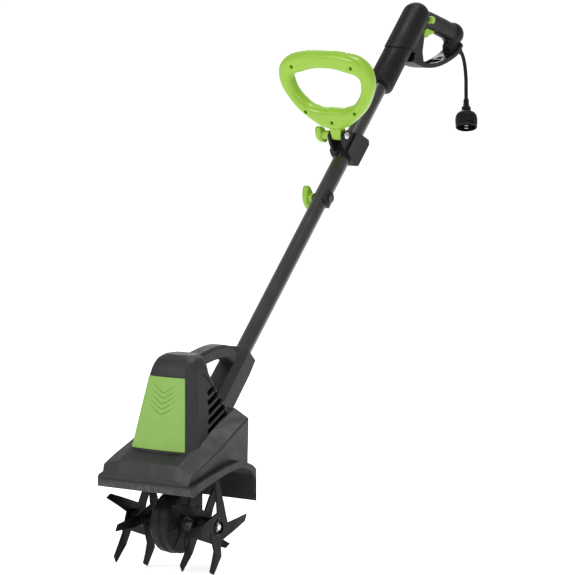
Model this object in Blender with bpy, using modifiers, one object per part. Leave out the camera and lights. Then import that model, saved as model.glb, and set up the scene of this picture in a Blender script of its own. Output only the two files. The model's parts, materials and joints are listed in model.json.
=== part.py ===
"""Mini cultivator: a small corded electric tiller on a two-piece pole, as separate solid pieces.

Metres, +Z up. The machine faces -Y, its tine axle lies along X and its tine tips stand on Z = 0.
Every piece is placed from the axle's centre, which the empty "axle_frame" carries.
"""

import math

import bmesh
import bpy
from mathutils import Matrix, Vector

# ---------------------------------------------------------------- driving dimensions
FIT = 0.0003  # gap between two pieces that touch
AXLE_Y = -0.3921  # the axle stands this far in front of the middle of the footprint

# tines
TINE_REACH = 0.0800
TINE_PLATE = 0.0030
TINE_DISC_RADIUS = 0.0240
TINE_TIP_WIDTH = 0.0105
TINE_TIP_SLANT = 0.0060  # how much longer one corner of a tip is than the other
TINE_SWEEP = math.radians(31.0)
TINE_FOLD = 0.42  # share of an arm's length that stays flat before it bends sideways
TINE_SET_X = 0.0650  # centre plane of each pair of plates
TINE_PAIR_HALF = 0.0172  # each plate's distance from that plane
OUTER_TINE_PHASE = math.radians(3.0)
INNER_TINE_PHASE = math.radians(56.0)
OUTER_TINE_BENDS = (-0.002, -0.002, -0.013, -0.017)
INNER_TINE_BENDS = (0.007, -0.004, -0.0075, 0.007)
HUB_RADIUS = 0.0133
HUB_REST = 0.0015  # how far a hub stands out past its plates
HUB_RECESS_RADIUS = 0.0095
HUB_RECESS = 0.0075

# axle, worm gear and gearbox
AXLE_RADIUS = 0.0060
AXLE_BOLT_RADIUS = 0.0028
AXLE_BOLT_HEAD = 0.0052
WHEEL_TEETH = 40
GEAR_MODULE = 0.00125
WHEEL_FACE = 0.0060
WORM_RADIUS = 0.0060
WORM_LENGTH = 0.0300
BACKLASH = 0.0004  # cleared on each side of a worm thread
GEARBOX_RADIUS = 0.0490
GEARBOX_WIDTH = 0.0350
GEARBOX_WALL = 0.0027
NECK_HALF = 0.0172
BUSH_RADIUS = 0.0100
SEAL_RADIUS = 0.0130

# motor
SHAFT_RADIUS = 0.0040
STATOR_RADIUS = 0.0350
STATOR_BORE = 0.0213
STACK_LOW = 0.1380
STACK_HEIGHT = 0.0380
COIL_HEIGHT = 0.0080
COMMUTATOR_RADIUS = 0.0110
FAN_RADIUS = 0.0290
BEARING_RADIUS = 0.0140
BEARING_HEIGHT = 0.0080

# housing and guard
WALL = 0.0030
FLOOR_HEIGHT = 0.1120  # underside of the motor chamber's floor
GUARD_HALF = 0.0955
FLAP_REAR = 0.0930
FLAP_LOW = 0.0300
PANEL_THICKNESS = 0.0022
SOCKET_HALF = 0.0235

# pole
POLE_LEAN = math.radians(45.0)
POLE_HEIGHT = 0.0660  # the pole's line passes this far above the axle
LOWER_TUBE_RADIUS = 0.0132
UPPER_TUBE_RADIUS = 0.0142
TUBE_WALL = 0.0010
LOWER_TUBE_START = 0.1680
SOCKET_END = 0.2570
TUBE_JOINT = 0.5790
TUBE_OVERLAP = 0.0600
UPPER_TUBE_END = 0.9600
TUBE_BOLT_ALONG = 0.5910
BOLT_RADIUS = 0.0030
BOLT_REACH = 0.0350  # from the middle plane to a bolt's tip, inside its knob
KNOB_LENGTH = 0.0430
KNOB_STEM = 0.0060
LOOP_KNOB_LENGTH = 0.0345
LOOP_KNOB_STEM = 0.0135  # long enough to carry the wings past the loop's foot
KNOB_WIDTH = 0.0215
KNOB_THICKNESS = 0.0120

# loop handle
LOOP_PIVOT_ALONG = 0.7010
LOOP_PIVOT_OUT = 0.0360
LOOP_LEAN = math.radians(20.0)  # how far the loop leans forward of vertical
LOOP_HALF_WIDTH = 0.0920
LOOP_DEPTH = 0.0270
LOOP_EDGE = 0.0105  # rounding of the loop's edges
TONGUE_WIDTH = 0.0200
CHEEK_THICKNESS = 0.0050

# main handle
SLEEVE_START = 0.8460
SLEEVE_RADIUS = 0.0225
BODY_RADIUS = 0.0242
BODY_START = 0.9250
BODY_TOP = 1.0340
GRIP_RADIUS = 0.0155
STRAP_HALF_WIDTH = 0.0165
STRAP_THICKNESS = 0.0080
LOCK_RADIUS = 0.0062
LOCK_TRAVEL = 0.0035

# power cord
CORD_DIAMETER = 0.0066
PLUG_RADIUS = 0.0192
PLUG_LENGTH = 0.0290
PLUG_RECESS = 0.0110
BLADE_PITCH = 0.0127

# ---------------------------------------------------------------- values worked out from them
WORM_LEAD = math.pi * GEAR_MODULE
WHEEL_RADIUS = WHEEL_TEETH * GEAR_MODULE / 2
MOTOR_Y = WHEEL_RADIUS + WORM_RADIUS
HUB_END = TINE_SET_X + TINE_PAIR_HALF + TINE_PLATE / 2 + HUB_REST
HUB_START = TINE_SET_X - TINE_PAIR_HALF - TINE_PLATE / 2 - HUB_REST
BOLT_FLANGE = 0.0015
AXLE_END = HUB_END - HUB_RECESS
NECK_TOP = FLOOR_HEIGHT + WALL + 0.0050
STACK_TOP = STACK_LOW + STACK_HEIGHT
COMMUTATOR_LOW = STACK_TOP + COIL_HEIGHT + 0.0030
SHAFT_TOP = COMMUTATOR_LOW + 0.0360
LOWER_TUBE_END = TUBE_JOINT + TUBE_OVERLAP


# ---------------------------------------------------------------- scene and materials
for old in list(bpy.data.objects):
    bpy.data.objects.remove(old, do_unlink=True)

parts = bpy.data.collections.new("mini_cultivator")
cutters = bpy.data.collections.new("cutters")
cutters.hide_render = True
for collection in (parts, cutters):
    bpy.context.scene.collection.children.link(collection)

FINISHES = {
    "black_plastic": ((0.035, 0.035, 0.037), 0.45, 0.0),
    "handle_plastic": ((0.030, 0.030, 0.032), 0.50, 0.0),
    "green_plastic": ((0.36, 0.68, 0.06), 0.35, 0.0),
    "tine_steel": ((0.040, 0.040, 0.042), 0.40, 0.3),
    "pole_steel": ((0.025, 0.025, 0.027), 0.30, 0.4),
    "bright_steel": ((0.62, 0.62, 0.62), 0.25, 1.0),
    "black_steel": ((0.05, 0.05, 0.05), 0.35, 0.8),
    "bronze": ((0.55, 0.38, 0.16), 0.35, 1.0),
    "copper": ((0.70, 0.32, 0.15), 0.35, 1.0),
    "carbon": ((0.02, 0.02, 0.02), 0.6, 0.0),
    "fan_plastic": ((0.10, 0.10, 0.10), 0.5, 0.0),
    "rubber": ((0.015, 0.015, 0.015), 0.6, 0.0),
}


def finish_of(name, kind):
    """A material of one kind of finish, for one piece."""
    color, roughness, metallic = FINISHES[kind]
    material = bpy.data.materials.new(name + "_" + kind)
    material.use_nodes = True
    shader = material.node_tree.nodes["Principled BSDF"]
    shader.inputs["Base Color"].default_value = (*color, 1.0)
    shader.inputs["Roughness"].default_value = roughness
    shader.inputs["Metallic"].default_value = metallic
    return material


# ---------------------------------------------------------------- placing
def along_pole(along, out=0.0, side=0.0):
    """A point by its distance along the pole, in front of the pole's line, and to the side."""
    sine, cosine = math.sin(POLE_LEAN), math.cos(POLE_LEAN)
    return Vector((side, along * sine - out * cosine, POLE_HEIGHT + along * cosine + out * sine))


def pole_frame(along, out=0.0, side=0.0):
    """A frame whose Z runs up the pole, X to the right and Y towards the ground behind."""
    return Matrix.Translation(along_pole(along, out, side)) @ Matrix.Rotation(-POLE_LEAN, 4, "X")


def side_frame(x, y, z, toward=1):
    """A frame whose Z points along X, to the right or to the left."""
    return Matrix.Translation((x, y, z)) @ Matrix.Rotation(toward * math.pi / 2, 4, "Y")


# ---------------------------------------------------------------- making
def add(name, mesh, kind, matrix=None, frame=None):
    """A visible piece in the axle's frame."""
    piece = bpy.data.objects.new(name, mesh)
    parts.objects.link(piece)
    piece.parent = frame or axle_frame
    if matrix is not None:
        piece.matrix_local = matrix
    mesh.materials.clear()
    mesh.materials.append(finish_of(name, kind))
    mesh.shade_smooth()
    mesh.set_sharp_from_angle(angle=math.radians(35))
    return piece


def helper(name, mesh, matrix=None):
    """A guide or cutter, left out of the model."""
    tool = bpy.data.objects.new(name, mesh)
    cutters.objects.link(tool)
    tool.parent = axle_frame
    tool.hide_render = True
    tool.display_type = "WIRE"
    if matrix is not None:
        tool.matrix_local = matrix
    return tool


def baked(obj):
    """The object's mesh in the axle's frame, with its modifiers and its place applied."""
    bpy.context.view_layer.update()
    graph = bpy.context.evaluated_depsgraph_get()
    mesh = bpy.data.meshes.new_from_object(obj.evaluated_get(graph))
    mesh.transform(axle_frame.matrix_world.inverted() @ obj.matrix_world)
    work = bmesh.new()
    work.from_mesh(mesh)
    bmesh.ops.remove_doubles(work, verts=work.verts, dist=1e-6)
    bmesh.ops.recalc_face_normals(work, faces=work.faces)
    work.to_mesh(mesh)
    work.free()
    return mesh


def boolean(obj, other, operation):
    step = obj.modifiers.new(operation.lower(), "BOOLEAN")
    step.operation = operation
    step.object = other
    step.solver = "EXACT"


def cut(obj, *tools):
    for tool in tools:
        boolean(obj, tool, "DIFFERENCE")


def join(obj, *others):
    for other in others:
        boolean(obj, other, "UNION")


def mesh_from(work, name):
    bmesh.ops.recalc_face_normals(work, faces=work.faces)
    mesh = bpy.data.meshes.new(name)
    work.to_mesh(mesh)
    work.free()
    return mesh


def box_mesh(name, low, high):
    """A box between two corners."""
    work = bmesh.new()
    bmesh.ops.create_cube(work, size=1.0)
    low, high = Vector(low), Vector(high)
    size = high - low
    bmesh.ops.scale(work, vec=size, verts=work.verts)
    bmesh.ops.translate(work, vec=(low + high) / 2, verts=work.verts)
    return mesh_from(work, name)


def rod_mesh(name, radius, low, high, segments=24):
    """A round bar along Z."""
    work = bmesh.new()
    bmesh.ops.create_cone(work, cap_ends=True, segments=segments, radius1=radius, radius2=radius, depth=high - low)
    bmesh.ops.translate(work, vec=(0, 0, (low + high) / 2), verts=work.verts)
    return mesh_from(work, name)


def turned_mesh(name, profile, segments=24, closed=False):
    """A profile of (radius, height) points, from the top of its outer side down, turned about Z."""
    outline = bpy.data.meshes.new(name)
    count = len(profile)
    edges = [(i, (i + 1) % count) for i in range(count if closed else count - 1)]
    outline.from_pydata([(r, 0.0, z) for r, z in profile], edges, [])
    turning = bpy.data.objects.new(name + "_turning", outline)
    cutters.objects.link(turning)
    turn = turning.modifiers.new("turn", "SCREW")
    turn.steps = turn.render_steps = segments
    turn.use_merge_vertices = True
    turn.merge_threshold = 0.00001
    bpy.context.view_layer.update()
    graph = bpy.context.evaluated_depsgraph_get()
    mesh = bpy.data.meshes.new_from_object(turning.evaluated_get(graph))
    bpy.data.objects.remove(turning)
    work = bmesh.new()
    work.from_mesh(mesh)
    bmesh.ops.remove_doubles(work, verts=work.verts, dist=1e-6)
    return mesh_from(work, name)


def ring_mesh(name, inner, outer, low, high, segments=24):
    profile = [(outer, high), (outer, low), (inner, low), (inner, high)]
    return turned_mesh(name, profile, segments, closed=True)


def loft_mesh(name, rings):
    """A closed body through rings that have the same number of points."""
    work = bmesh.new()
    rows = [[work.verts.new(point) for point in ring] for ring in rings]
    count = len(rows[0])
    for low, high in zip(rows, rows[1:]):
        for i in range(count):
            work.faces.new((low[i], low[(i + 1) % count], high[(i + 1) % count], high[i]))
    work.faces.new(rows[0][::-1])
    work.faces.new(rows[-1])
    bmesh.ops.triangulate(work, faces=[face for face in work.faces if len(face.verts) > 4])
    return mesh_from(work, name)


def outline_mesh(name, outlines, half, edge=0.0, smooth=False, resolution=6):
    """Flat closed outlines in XY, the first one solid and the rest holes, given a thickness along Z."""
    curve = bpy.data.curves.new(name, "CURVE")
    curve.dimensions = "2D"
    curve.fill_mode = "BOTH"
    curve.extrude = half - edge
    curve.bevel_depth = edge
    curve.bevel_resolution = 1
    curve.resolution_u = resolution
    for points in outlines:
        if smooth:
            spline = curve.splines.new("BEZIER")
            spline.bezier_points.add(len(points) - 1)
            for knot, (x, y) in zip(spline.bezier_points, points):
                knot.co = (x, y, 0)
                knot.handle_left_type = knot.handle_right_type = "AUTO"
        else:
            spline = curve.splines.new("POLY")
            spline.points.add(len(points) - 1)
            for knot, (x, y) in zip(spline.points, points):
                knot.co = (x, y, 0, 1)
        spline.use_cyclic_u = True
    return mesh_of_curve(name, curve)


def tube_mesh(name, points, radius, resolution=2):
    """A round bar along a line of points."""
    curve = bpy.data.curves.new(name, "CURVE")
    curve.dimensions = "3D"
    curve.bevel_depth = radius
    curve.bevel_resolution = resolution
    curve.use_fill_caps = True
    spline = curve.splines.new("POLY")
    spline.points.add(len(points) - 1)
    for knot, point in zip(spline.points, points):
        knot.co = (*point, 1)
    return mesh_of_curve(name, curve)


def mesh_of_curve(name, curve):
    shape = bpy.data.objects.new(name + "_curve", curve)
    cutters.objects.link(shape)
    bpy.context.view_layer.update()
    graph = bpy.context.evaluated_depsgraph_get()
    mesh = bpy.data.meshes.new_from_object(shape.evaluated_get(graph))
    bpy.data.objects.remove(shape)
    work = bmesh.new()
    work.from_mesh(mesh)
    bmesh.ops.remove_doubles(work, verts=work.verts, dist=2e-6)
    return mesh_from(work, name)


def smooth_line(points, steps):
    """Points on a smooth curve through the given ones."""
    found = []
    ends = [2 * points[0] - points[1], *points, 2 * points[-1] - points[-2]]
    for before, start, end, after in zip(ends, ends[1:], ends[2:], ends[3:]):
        for i in range(steps):
            t = i / steps
            found.append(
                0.5
                * (
                    2 * start
                    + (end - before) * t
                    + (2 * before - 5 * start + 4 * end - after) * t**2
                    + (3 * start - before - 3 * end + after) * t**3
                )
            )
    return [*found, points[-1]]


def between(levels, at):
    """The row of values at a height, from rows that start with their height."""
    for low, high in zip(levels, levels[1:]):
        if at <= high[0]:
            break
    share = (at - low[0]) / (high[0] - low[0])
    return [a + (b - a) * share for a, b in zip(low[1:], high[1:])]


# ---------------------------------------------------------------- tines
def tine_plate_mesh(name, phase, bends):
    """A stamped star plate about X: a disc with swept tapering arms, each bent sideways by its own amount."""
    work = bmesh.new()
    segments = 24
    across = segments // len(bends) - 1
    bore = HUB_RADIUS + FIT

    def at(radius, angle):
        return work.verts.new((0.0, radius * math.cos(angle), radius * math.sin(angle)))

    turn = 2 * math.pi / segments
    start = phase - TINE_SWEEP - across * turn / 2
    inner = [at(bore, start + i * turn) for i in range(segments)]
    outer = [at(TINE_DISC_RADIUS, start + i * turn) for i in range(segments)]
    for i in range(segments):
        j = (i + 1) % segments
        work.faces.new((inner[i], inner[j], outer[j], outer[i]))
    for arm, bend in enumerate(bends):
        first = arm * segments // len(bends)
        row = [outer[(first + k) % segments] for k in range(across + 1)]
        feet = [vertex.co.copy() for vertex in row]
        tip = phase + arm * 2 * math.pi / len(bends)
        ahead = Vector((0.0, math.cos(tip), math.sin(tip)))
        aside = Vector((0.0, -math.sin(tip), math.cos(tip)))
        for share in (TINE_FOLD, (1 + TINE_FOLD) / 2, 1.0):
            new_row = []
            for k, foot in enumerate(feet):
                side = k / across - 0.5
                end = ahead * (TINE_REACH - (0.5 - side) * TINE_TIP_SLANT) + aside * side * TINE_TIP_WIDTH
                place = foot.lerp(end, share)
                place.x = bend * (share - TINE_FOLD) / (1 - TINE_FOLD)
                new_row.append(work.verts.new(place))
            for a, b, c, d in zip(row, row[1:], new_row[1:], new_row):
                work.faces.new((a, b, c, d))
            row = new_row
    return mesh_from(work, name)


def make_tines():
    """Four star plates: the left pair repeats the right pair, moved along the axle."""
    for side, center in (("right", TINE_SET_X), ("left", -TINE_SET_X)):
        for place, shift, phase, bends in (
            ("a", TINE_PAIR_HALF, OUTER_TINE_PHASE, OUTER_TINE_BENDS),
            ("b", -TINE_PAIR_HALF, INNER_TINE_PHASE, INNER_TINE_BENDS),
        ):
            name = f"tine_plate_{side}_{place}"
            plate = add(name, tine_plate_mesh(name, phase, bends), "tine_steel")
            plate.matrix_local = Matrix.Translation((center + shift, 0, 0))
            wall = plate.modifiers.new("thickness", "SOLIDIFY")
            wall.thickness = TINE_PLATE
            wall.offset = 0.0


def lowest_tine_point():
    """The height of the lowest tine tip, measured on the finished plates."""
    bpy.context.view_layer.update()
    graph = bpy.context.evaluated_depsgraph_get()
    heights = []
    for piece in parts.objects:
        if piece.name.startswith("tine_plate"):
            mesh = piece.evaluated_get(graph).to_mesh()
            heights += [(piece.matrix_world @ vertex.co).z for vertex in mesh.vertices]
    return min(heights)


axle_frame = bpy.data.objects.new("axle_frame", None)
parts.objects.link(axle_frame)
axle_frame.location = (0.0, AXLE_Y, 0.0)


# ---------------------------------------------------------------- axle and hubs
def make_axle():
    axle = add("tine_axle", rod_mesh("tine_axle", AXLE_RADIUS, -AXLE_END, AXLE_END), "bright_steel", side_frame(0, 0, 0))
    thread = AXLE_BOLT_RADIUS + FIT
    for toward in (1, -1):
        low, high = sorted((toward * (AXLE_END + 0.001), toward * (AXLE_END - 0.014)))
        hole = rod_mesh("bolt_hole", thread, low, high, 12)
        cut(axle, helper("axle_bolt_hole", hole, side_frame(0, 0, 0)))
    for side, toward in (("right", 1), ("left", -1)):
        # the hub's profile runs down its outer side from its outer end, then up through bore and recess
        bore = AXLE_RADIUS + FIT
        profile = [
            (HUB_RADIUS, HUB_END),
            (HUB_RADIUS, HUB_START),
            (bore, HUB_START),
            (bore, AXLE_END - 0.002),
            (HUB_RECESS_RADIUS, AXLE_END - 0.002),
            (HUB_RECESS_RADIUS, HUB_END),
        ]
        name = "tine_hub_" + side
        add(name, turned_mesh(name, profile, closed=True), "tine_steel", side_frame(0, 0, 0, toward))
        low = AXLE_END + FIT
        flange = low + BOLT_FLANGE
        name = "axle_bolt_" + side
        profile = [
            (0, flange + 0.0040),
            (AXLE_BOLT_HEAD * 0.8, flange + 0.0040),
            (AXLE_BOLT_HEAD, flange + 0.0030),
            (AXLE_BOLT_HEAD, flange),
            (HUB_RECESS_RADIUS - 0.001, flange),
            (HUB_RECESS_RADIUS - 0.001, low),
            (AXLE_BOLT_RADIUS, low),
            (AXLE_BOLT_RADIUS, AXLE_END - 0.012),
            (0, AXLE_END - 0.012),
        ]
        add(name, turned_mesh(name, profile, 16), "bright_steel", side_frame(0, 0, 0, toward))


# ---------------------------------------------------------------- worm gear
def thread_lift(height, angle):
    """How far the thread stands out of the worm's root, from 0 to 1, at a height and an angle."""
    facing = 1.5 * math.pi  # the side that meets the wheel, where a crest stands at its height
    phase = (height / WORM_LEAD - (angle - facing) / (2 * math.pi) + 0.5) % 1.0
    away = abs(phase - 0.5)
    crest, foot = 0.12, 0.27
    return max(0.0, min(1.0, (foot - away) / (foot - crest)))


def make_worm_shaft():
    """The motor's shaft: a round bar whose lower end carries the worm's thread, at the wheel's height."""
    columns = 16
    half = WORM_LENGTH / 2
    rows = [(-half - 0.0110, 0.0035), (-half - 0.0020, 0.0035), (-half - 0.0018, WORM_RADIUS - 1.2 * GEAR_MODULE)]
    per_turn = 7
    turns = int(WORM_LENGTH / WORM_LEAD)
    threaded = [(-0.5 + i / (turns * per_turn)) * turns * WORM_LEAD for i in range(turns * per_turn + 1)]
    rings = []

    def ring(height, radius):
        return [
            (radius * math.cos(2 * math.pi * i / columns), radius * math.sin(2 * math.pi * i / columns), height)
            for i in range(columns)
        ]

    for height, radius in rows:
        rings.append(ring(height, radius))
    root = WORM_RADIUS - 1.2 * GEAR_MODULE
    for step, height in enumerate(threaded):
        fade = min(1.0, step / per_turn, (len(threaded) - 1 - step) / per_turn)
        points = []
        for i in range(columns):
            angle = 2 * math.pi * i / columns
            radius = root + 2.1 * GEAR_MODULE * fade * thread_lift(height, angle)
            points.append((radius * math.cos(angle), radius * math.sin(angle), height))
        rings.append(points)
    rings.append(ring(half + 0.0018, root))
    rings.append(ring(half + 0.0020, SHAFT_RADIUS))
    rings.append(ring(SHAFT_TOP, SHAFT_RADIUS))
    rings.append(ring(SHAFT_TOP + 0.001, SHAFT_RADIUS - 0.001))
    add("worm_shaft", loft_mesh("worm_shaft", rings), "bright_steel", Matrix.Translation((0, MOTOR_Y, 0)))


def make_worm_wheel():
    """A thin wheel with straight teeth, whose gaps clear the thread on both sides."""
    outer = WHEEL_RADIUS + 0.9 * GEAR_MODULE
    root = WHEEL_RADIUS - 1.25 * GEAR_MODULE
    pitch = 2 * math.pi / WHEEL_TEETH
    slack = BACKLASH / WHEEL_RADIUS
    foot_half = 0.36 * pitch - slack
    tip_half = 0.16 * pitch - slack / 2
    outline = []
    for tooth in range(WHEEL_TEETH):
        center = (tooth + 0.5) * pitch
        for radius, shift in ((root, -foot_half), (outer, -tip_half), (outer, tip_half), (root, foot_half)):
            angle = center + shift
            outline.append((-radius * math.sin(angle), radius * math.cos(angle)))
    fit = AXLE_RADIUS + FIT
    bore = [(fit * math.cos(2 * math.pi * i / 24), fit * math.sin(2 * math.pi * i / 24)) for i in range(24)]
    wheel = outline_mesh("worm_wheel", [outline, bore], WHEEL_FACE / 2)
    add("worm_wheel", wheel, "bronze", side_frame(0, 0, 0))


# ---------------------------------------------------------------- gearbox
def make_gearbox():
    half = GEARBOX_WIDTH / 2
    edge = 0.0035
    drum = turned_mesh(
        "drum",
        [
            (0, half),
            (GEARBOX_RADIUS - edge, half),
            (GEARBOX_RADIUS, half - edge),
            (GEARBOX_RADIUS, -half + edge),
            (GEARBOX_RADIUS - edge, -half),
            (0, -half),
        ],
        40,
    )
    shell = helper("gearbox_shell", drum, side_frame(0, 0, 0))
    neck = box_mesh("neck", (-NECK_HALF, MOTOR_Y - NECK_HALF, 0.0), (NECK_HALF, MOTOR_Y + NECK_HALF, NECK_TOP))
    flange = box_mesh(
        "flange",
        (-NECK_HALF - 0.007, MOTOR_Y - NECK_HALF - 0.004, FLOOR_HEIGHT + WALL + FIT),
        (NECK_HALF + 0.007, MOTOR_Y + NECK_HALF + 0.004, NECK_TOP),
    )
    join(shell, helper("gearbox_neck", neck), helper("gearbox_flange", flange))
    wall = GEARBOX_WALL
    inside = rod_mesh("inside", GEARBOX_RADIUS - wall, -half + wall, half - wall, 40)
    bore = rod_mesh("neck_bore", BEARING_RADIUS + FIT, -0.005, NECK_TOP + 0.001, 24)
    axle_hole = rod_mesh("axle_hole", BUSH_RADIUS + FIT, -0.03, 0.03, 24)
    cut(
        shell,
        helper("gearbox_inside", inside, side_frame(0, 0, 0)),
        helper("gearbox_neck_bore", bore, Matrix.Translation((0, MOTOR_Y, 0))),
        helper("gearbox_axle_hole", axle_hole, side_frame(0, 0, 0)),
    )
    add_halves("gearbox", baked(shell), "black_plastic")
    for side, toward in (("right", 1), ("left", -1)):
        name = "axle_bush_" + side
        low = half - wall - 0.006
        profile = [
            (BUSH_RADIUS, half),
            (BUSH_RADIUS, low),
            (AXLE_RADIUS + FIT, low),
            (AXLE_RADIUS + FIT, half),
        ]
        add(name, turned_mesh(name, profile, closed=True), "bronze", side_frame(0, 0, 0, toward))
        name = "axle_seal_" + side
        seal = ring_mesh(name, AXLE_RADIUS + FIT, SEAL_RADIUS, half + FIT, half + 0.004)
        add(name, seal, "rubber", side_frame(0, 0, 0, toward))


def add_halves(name, mesh, kind, reach=1.5):
    """A shell's right and left halves, parted at the middle plane."""
    pieces = []
    for side, toward in (("right", 1), ("left", -1)):
        low, high = sorted((toward * FIT / 2, toward * reach))
        half = add(f"{name}_{side}", mesh.copy(), kind)
        keep = box_mesh("half_space", (low, -reach, -reach), (high, reach, reach))
        boolean(half, helper(f"{name}_{side}_space", keep), "INTERSECT")
        pieces.append(half)
    bpy.data.meshes.remove(mesh)
    return pieces


# ---------------------------------------------------------------- motor
def make_motor():
    place = Matrix.Translation((0, MOTOR_Y, 0))
    fit = SHAFT_RADIUS + FIT

    def ring(name, kind, inner, outer, low, high, segments=24):
        return add(name, ring_mesh(name, inner, outer, low, high, segments), kind, place.copy())

    ring("motor_stator", "black_steel", STATOR_BORE, STATOR_RADIUS, STACK_LOW, STACK_TOP, 32)
    ring("field_coil_lower", "copper", STATOR_BORE, 0.031, STACK_LOW - COIL_HEIGHT, STACK_LOW - FIT)
    ring("field_coil_upper", "copper", STATOR_BORE, 0.031, STACK_TOP + FIT, STACK_TOP + COIL_HEIGHT)
    ring("armature", "black_steel", fit, STATOR_BORE - 0.0008, STACK_LOW - 0.002, STACK_TOP + 0.002)
    ring("commutator", "copper", fit, COMMUTATOR_RADIUS, COMMUTATOR_LOW, COMMUTATOR_LOW + 0.014)
    ring("upper_bearing", "bright_steel", fit, 0.0110, SHAFT_TOP - 0.010, SHAFT_TOP - 0.002)
    low = NECK_TOP - BEARING_HEIGHT - 0.004
    ring("lower_bearing", "bright_steel", fit, BEARING_RADIUS, low, low + BEARING_HEIGHT)
    low = -WORM_LENGTH / 2 - 0.0105
    ring("foot_bush", "bronze", 0.0035 + FIT, 0.0065, low, low + 0.006)
    # the fan: a hub ring with straight radial vanes
    vanes, hub, vane = 8, 0.0080, 0.0016
    outline = []
    for i in range(vanes):
        middle = 2 * math.pi * i / vanes
        for radius, side in ((hub, -1), (FAN_RADIUS, -1), (FAN_RADIUS, 1), (hub, 1)):
            angle = middle + side * math.asin(vane / radius)
            outline.append((radius * math.cos(angle), radius * math.sin(angle)))
    bore = [(fit * math.cos(2 * math.pi * i / 16), fit * math.sin(2 * math.pi * i / 16)) for i in range(16)]
    low = NECK_TOP + 0.0020
    fan = outline_mesh("cooling_fan", [outline, bore], 0.0035)
    add("cooling_fan", fan, "fan_plastic", Matrix.Translation((0, MOTOR_Y, low + 0.0035)))
    # brushes run radially onto the commutator
    for side, toward in (("right", 1), ("left", -1)):
        name = "brush_" + side
        middle = COMMUTATOR_LOW + 0.007
        low, high = sorted((toward * (COMMUTATOR_RADIUS + FIT), toward * 0.028))
        brush = box_mesh(name, (low, MOTOR_Y - 0.003, middle - 0.004), (high, MOTOR_Y + 0.003, middle + 0.004))
        add(name, brush, "carbon")


# ---------------------------------------------------------------- housing
# rows: height, front, half width of the front, where the side starts, half width of the side, back, half width there
TOWER = [
    (0.1050, -0.0500, 0.0560, -0.0290, 0.0660, 0.1060, 0.0500),
    (0.1220, -0.0462, 0.0520, -0.0255, 0.0622, 0.0990, 0.0480),
    (0.1800, -0.0338, 0.0436, -0.0150, 0.0540, 0.0760, 0.0420),
    (0.2350, -0.0220, 0.0352, -0.0060, 0.0448, 0.0420, 0.0340),
    (0.2500, -0.0160, 0.0325, -0.0020, 0.0415, 0.0395, 0.0320),
    (0.2610, -0.0070, 0.0275, 0.0030, 0.0360, 0.0370, 0.0285),
    (0.2680, 0.0040, 0.0180, 0.0090, 0.0250, 0.0330, 0.0200),
]
TOWER_BOW = 0.0030  # how far the front bows out in the middle


def tower_ring(height, inset=0.0):
    front, front_half, side_start, side_half, back, back_half = between(TOWER, height)
    front += inset
    back -= inset
    front_half -= 0.6 * inset
    back_half -= 0.6 * inset
    side_half -= inset
    side_end = max(side_start + 0.004, back - 0.014)
    right = [
        (0.0, front - TOWER_BOW),
        (front_half * 0.5, front - TOWER_BOW * 0.75),
        (front_half, front),
        (side_half, side_start),
        (side_half, (side_start + side_end) / 2),
        (side_half, side_end),
        (back_half, back),
        (0.0, back + 0.002),
    ]
    left = [(-x, y) for x, y in right[-2:0:-1]]
    return [(x, y, height) for x, y in right + left]


# rows: Y, then heights of the middle, shoulder and outer edge, half width there, and the rim's top height
GUARD = [
    (-0.0835, 0.0850, 0.0845, 0.0780, 0.0840, 0.0740),
    (-0.0735, 0.1060, 0.1050, 0.0960, 0.0880, 0.0800),
    (-0.0460, 0.1205, 0.1200, 0.1070, 0.0890, 0.0870),
    (0.0000, 0.1410, 0.1400, 0.1250, 0.0870, 0.0960),
    (0.0420, 0.1620, 0.1600, 0.1450, 0.0850, 0.1010),
    (0.0840, 0.1790, 0.1770, 0.1630, 0.0820, 0.0880),
]
SHOULDER = 0.0560
RIM_HEIGHT = 0.0110


def guard_ring(row, inset=0.0, drop=0.0):
    y, middle, shoulder, edge, edge_half, rim = row
    right = [
        (0.0, middle - inset),
        (SHOULDER - inset / 2, shoulder - inset),
        (edge_half - inset, edge - inset),
        (edge_half - 0.002 - inset, rim - RIM_HEIGHT * 0.4 - drop),
    ]
    left = [(-x, z) for x, z in right[::-1][:-1]]
    return [(x, y, z) for x, z in right + left]


def across_frame():
    """A frame whose X runs along Y and Y along Z, so that thickness runs across the machine."""
    return Matrix(((0, 0, 1, 0), (1, 0, 0, 0), (0, 1, 0, 0), (0, 0, 0, 1)))


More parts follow.
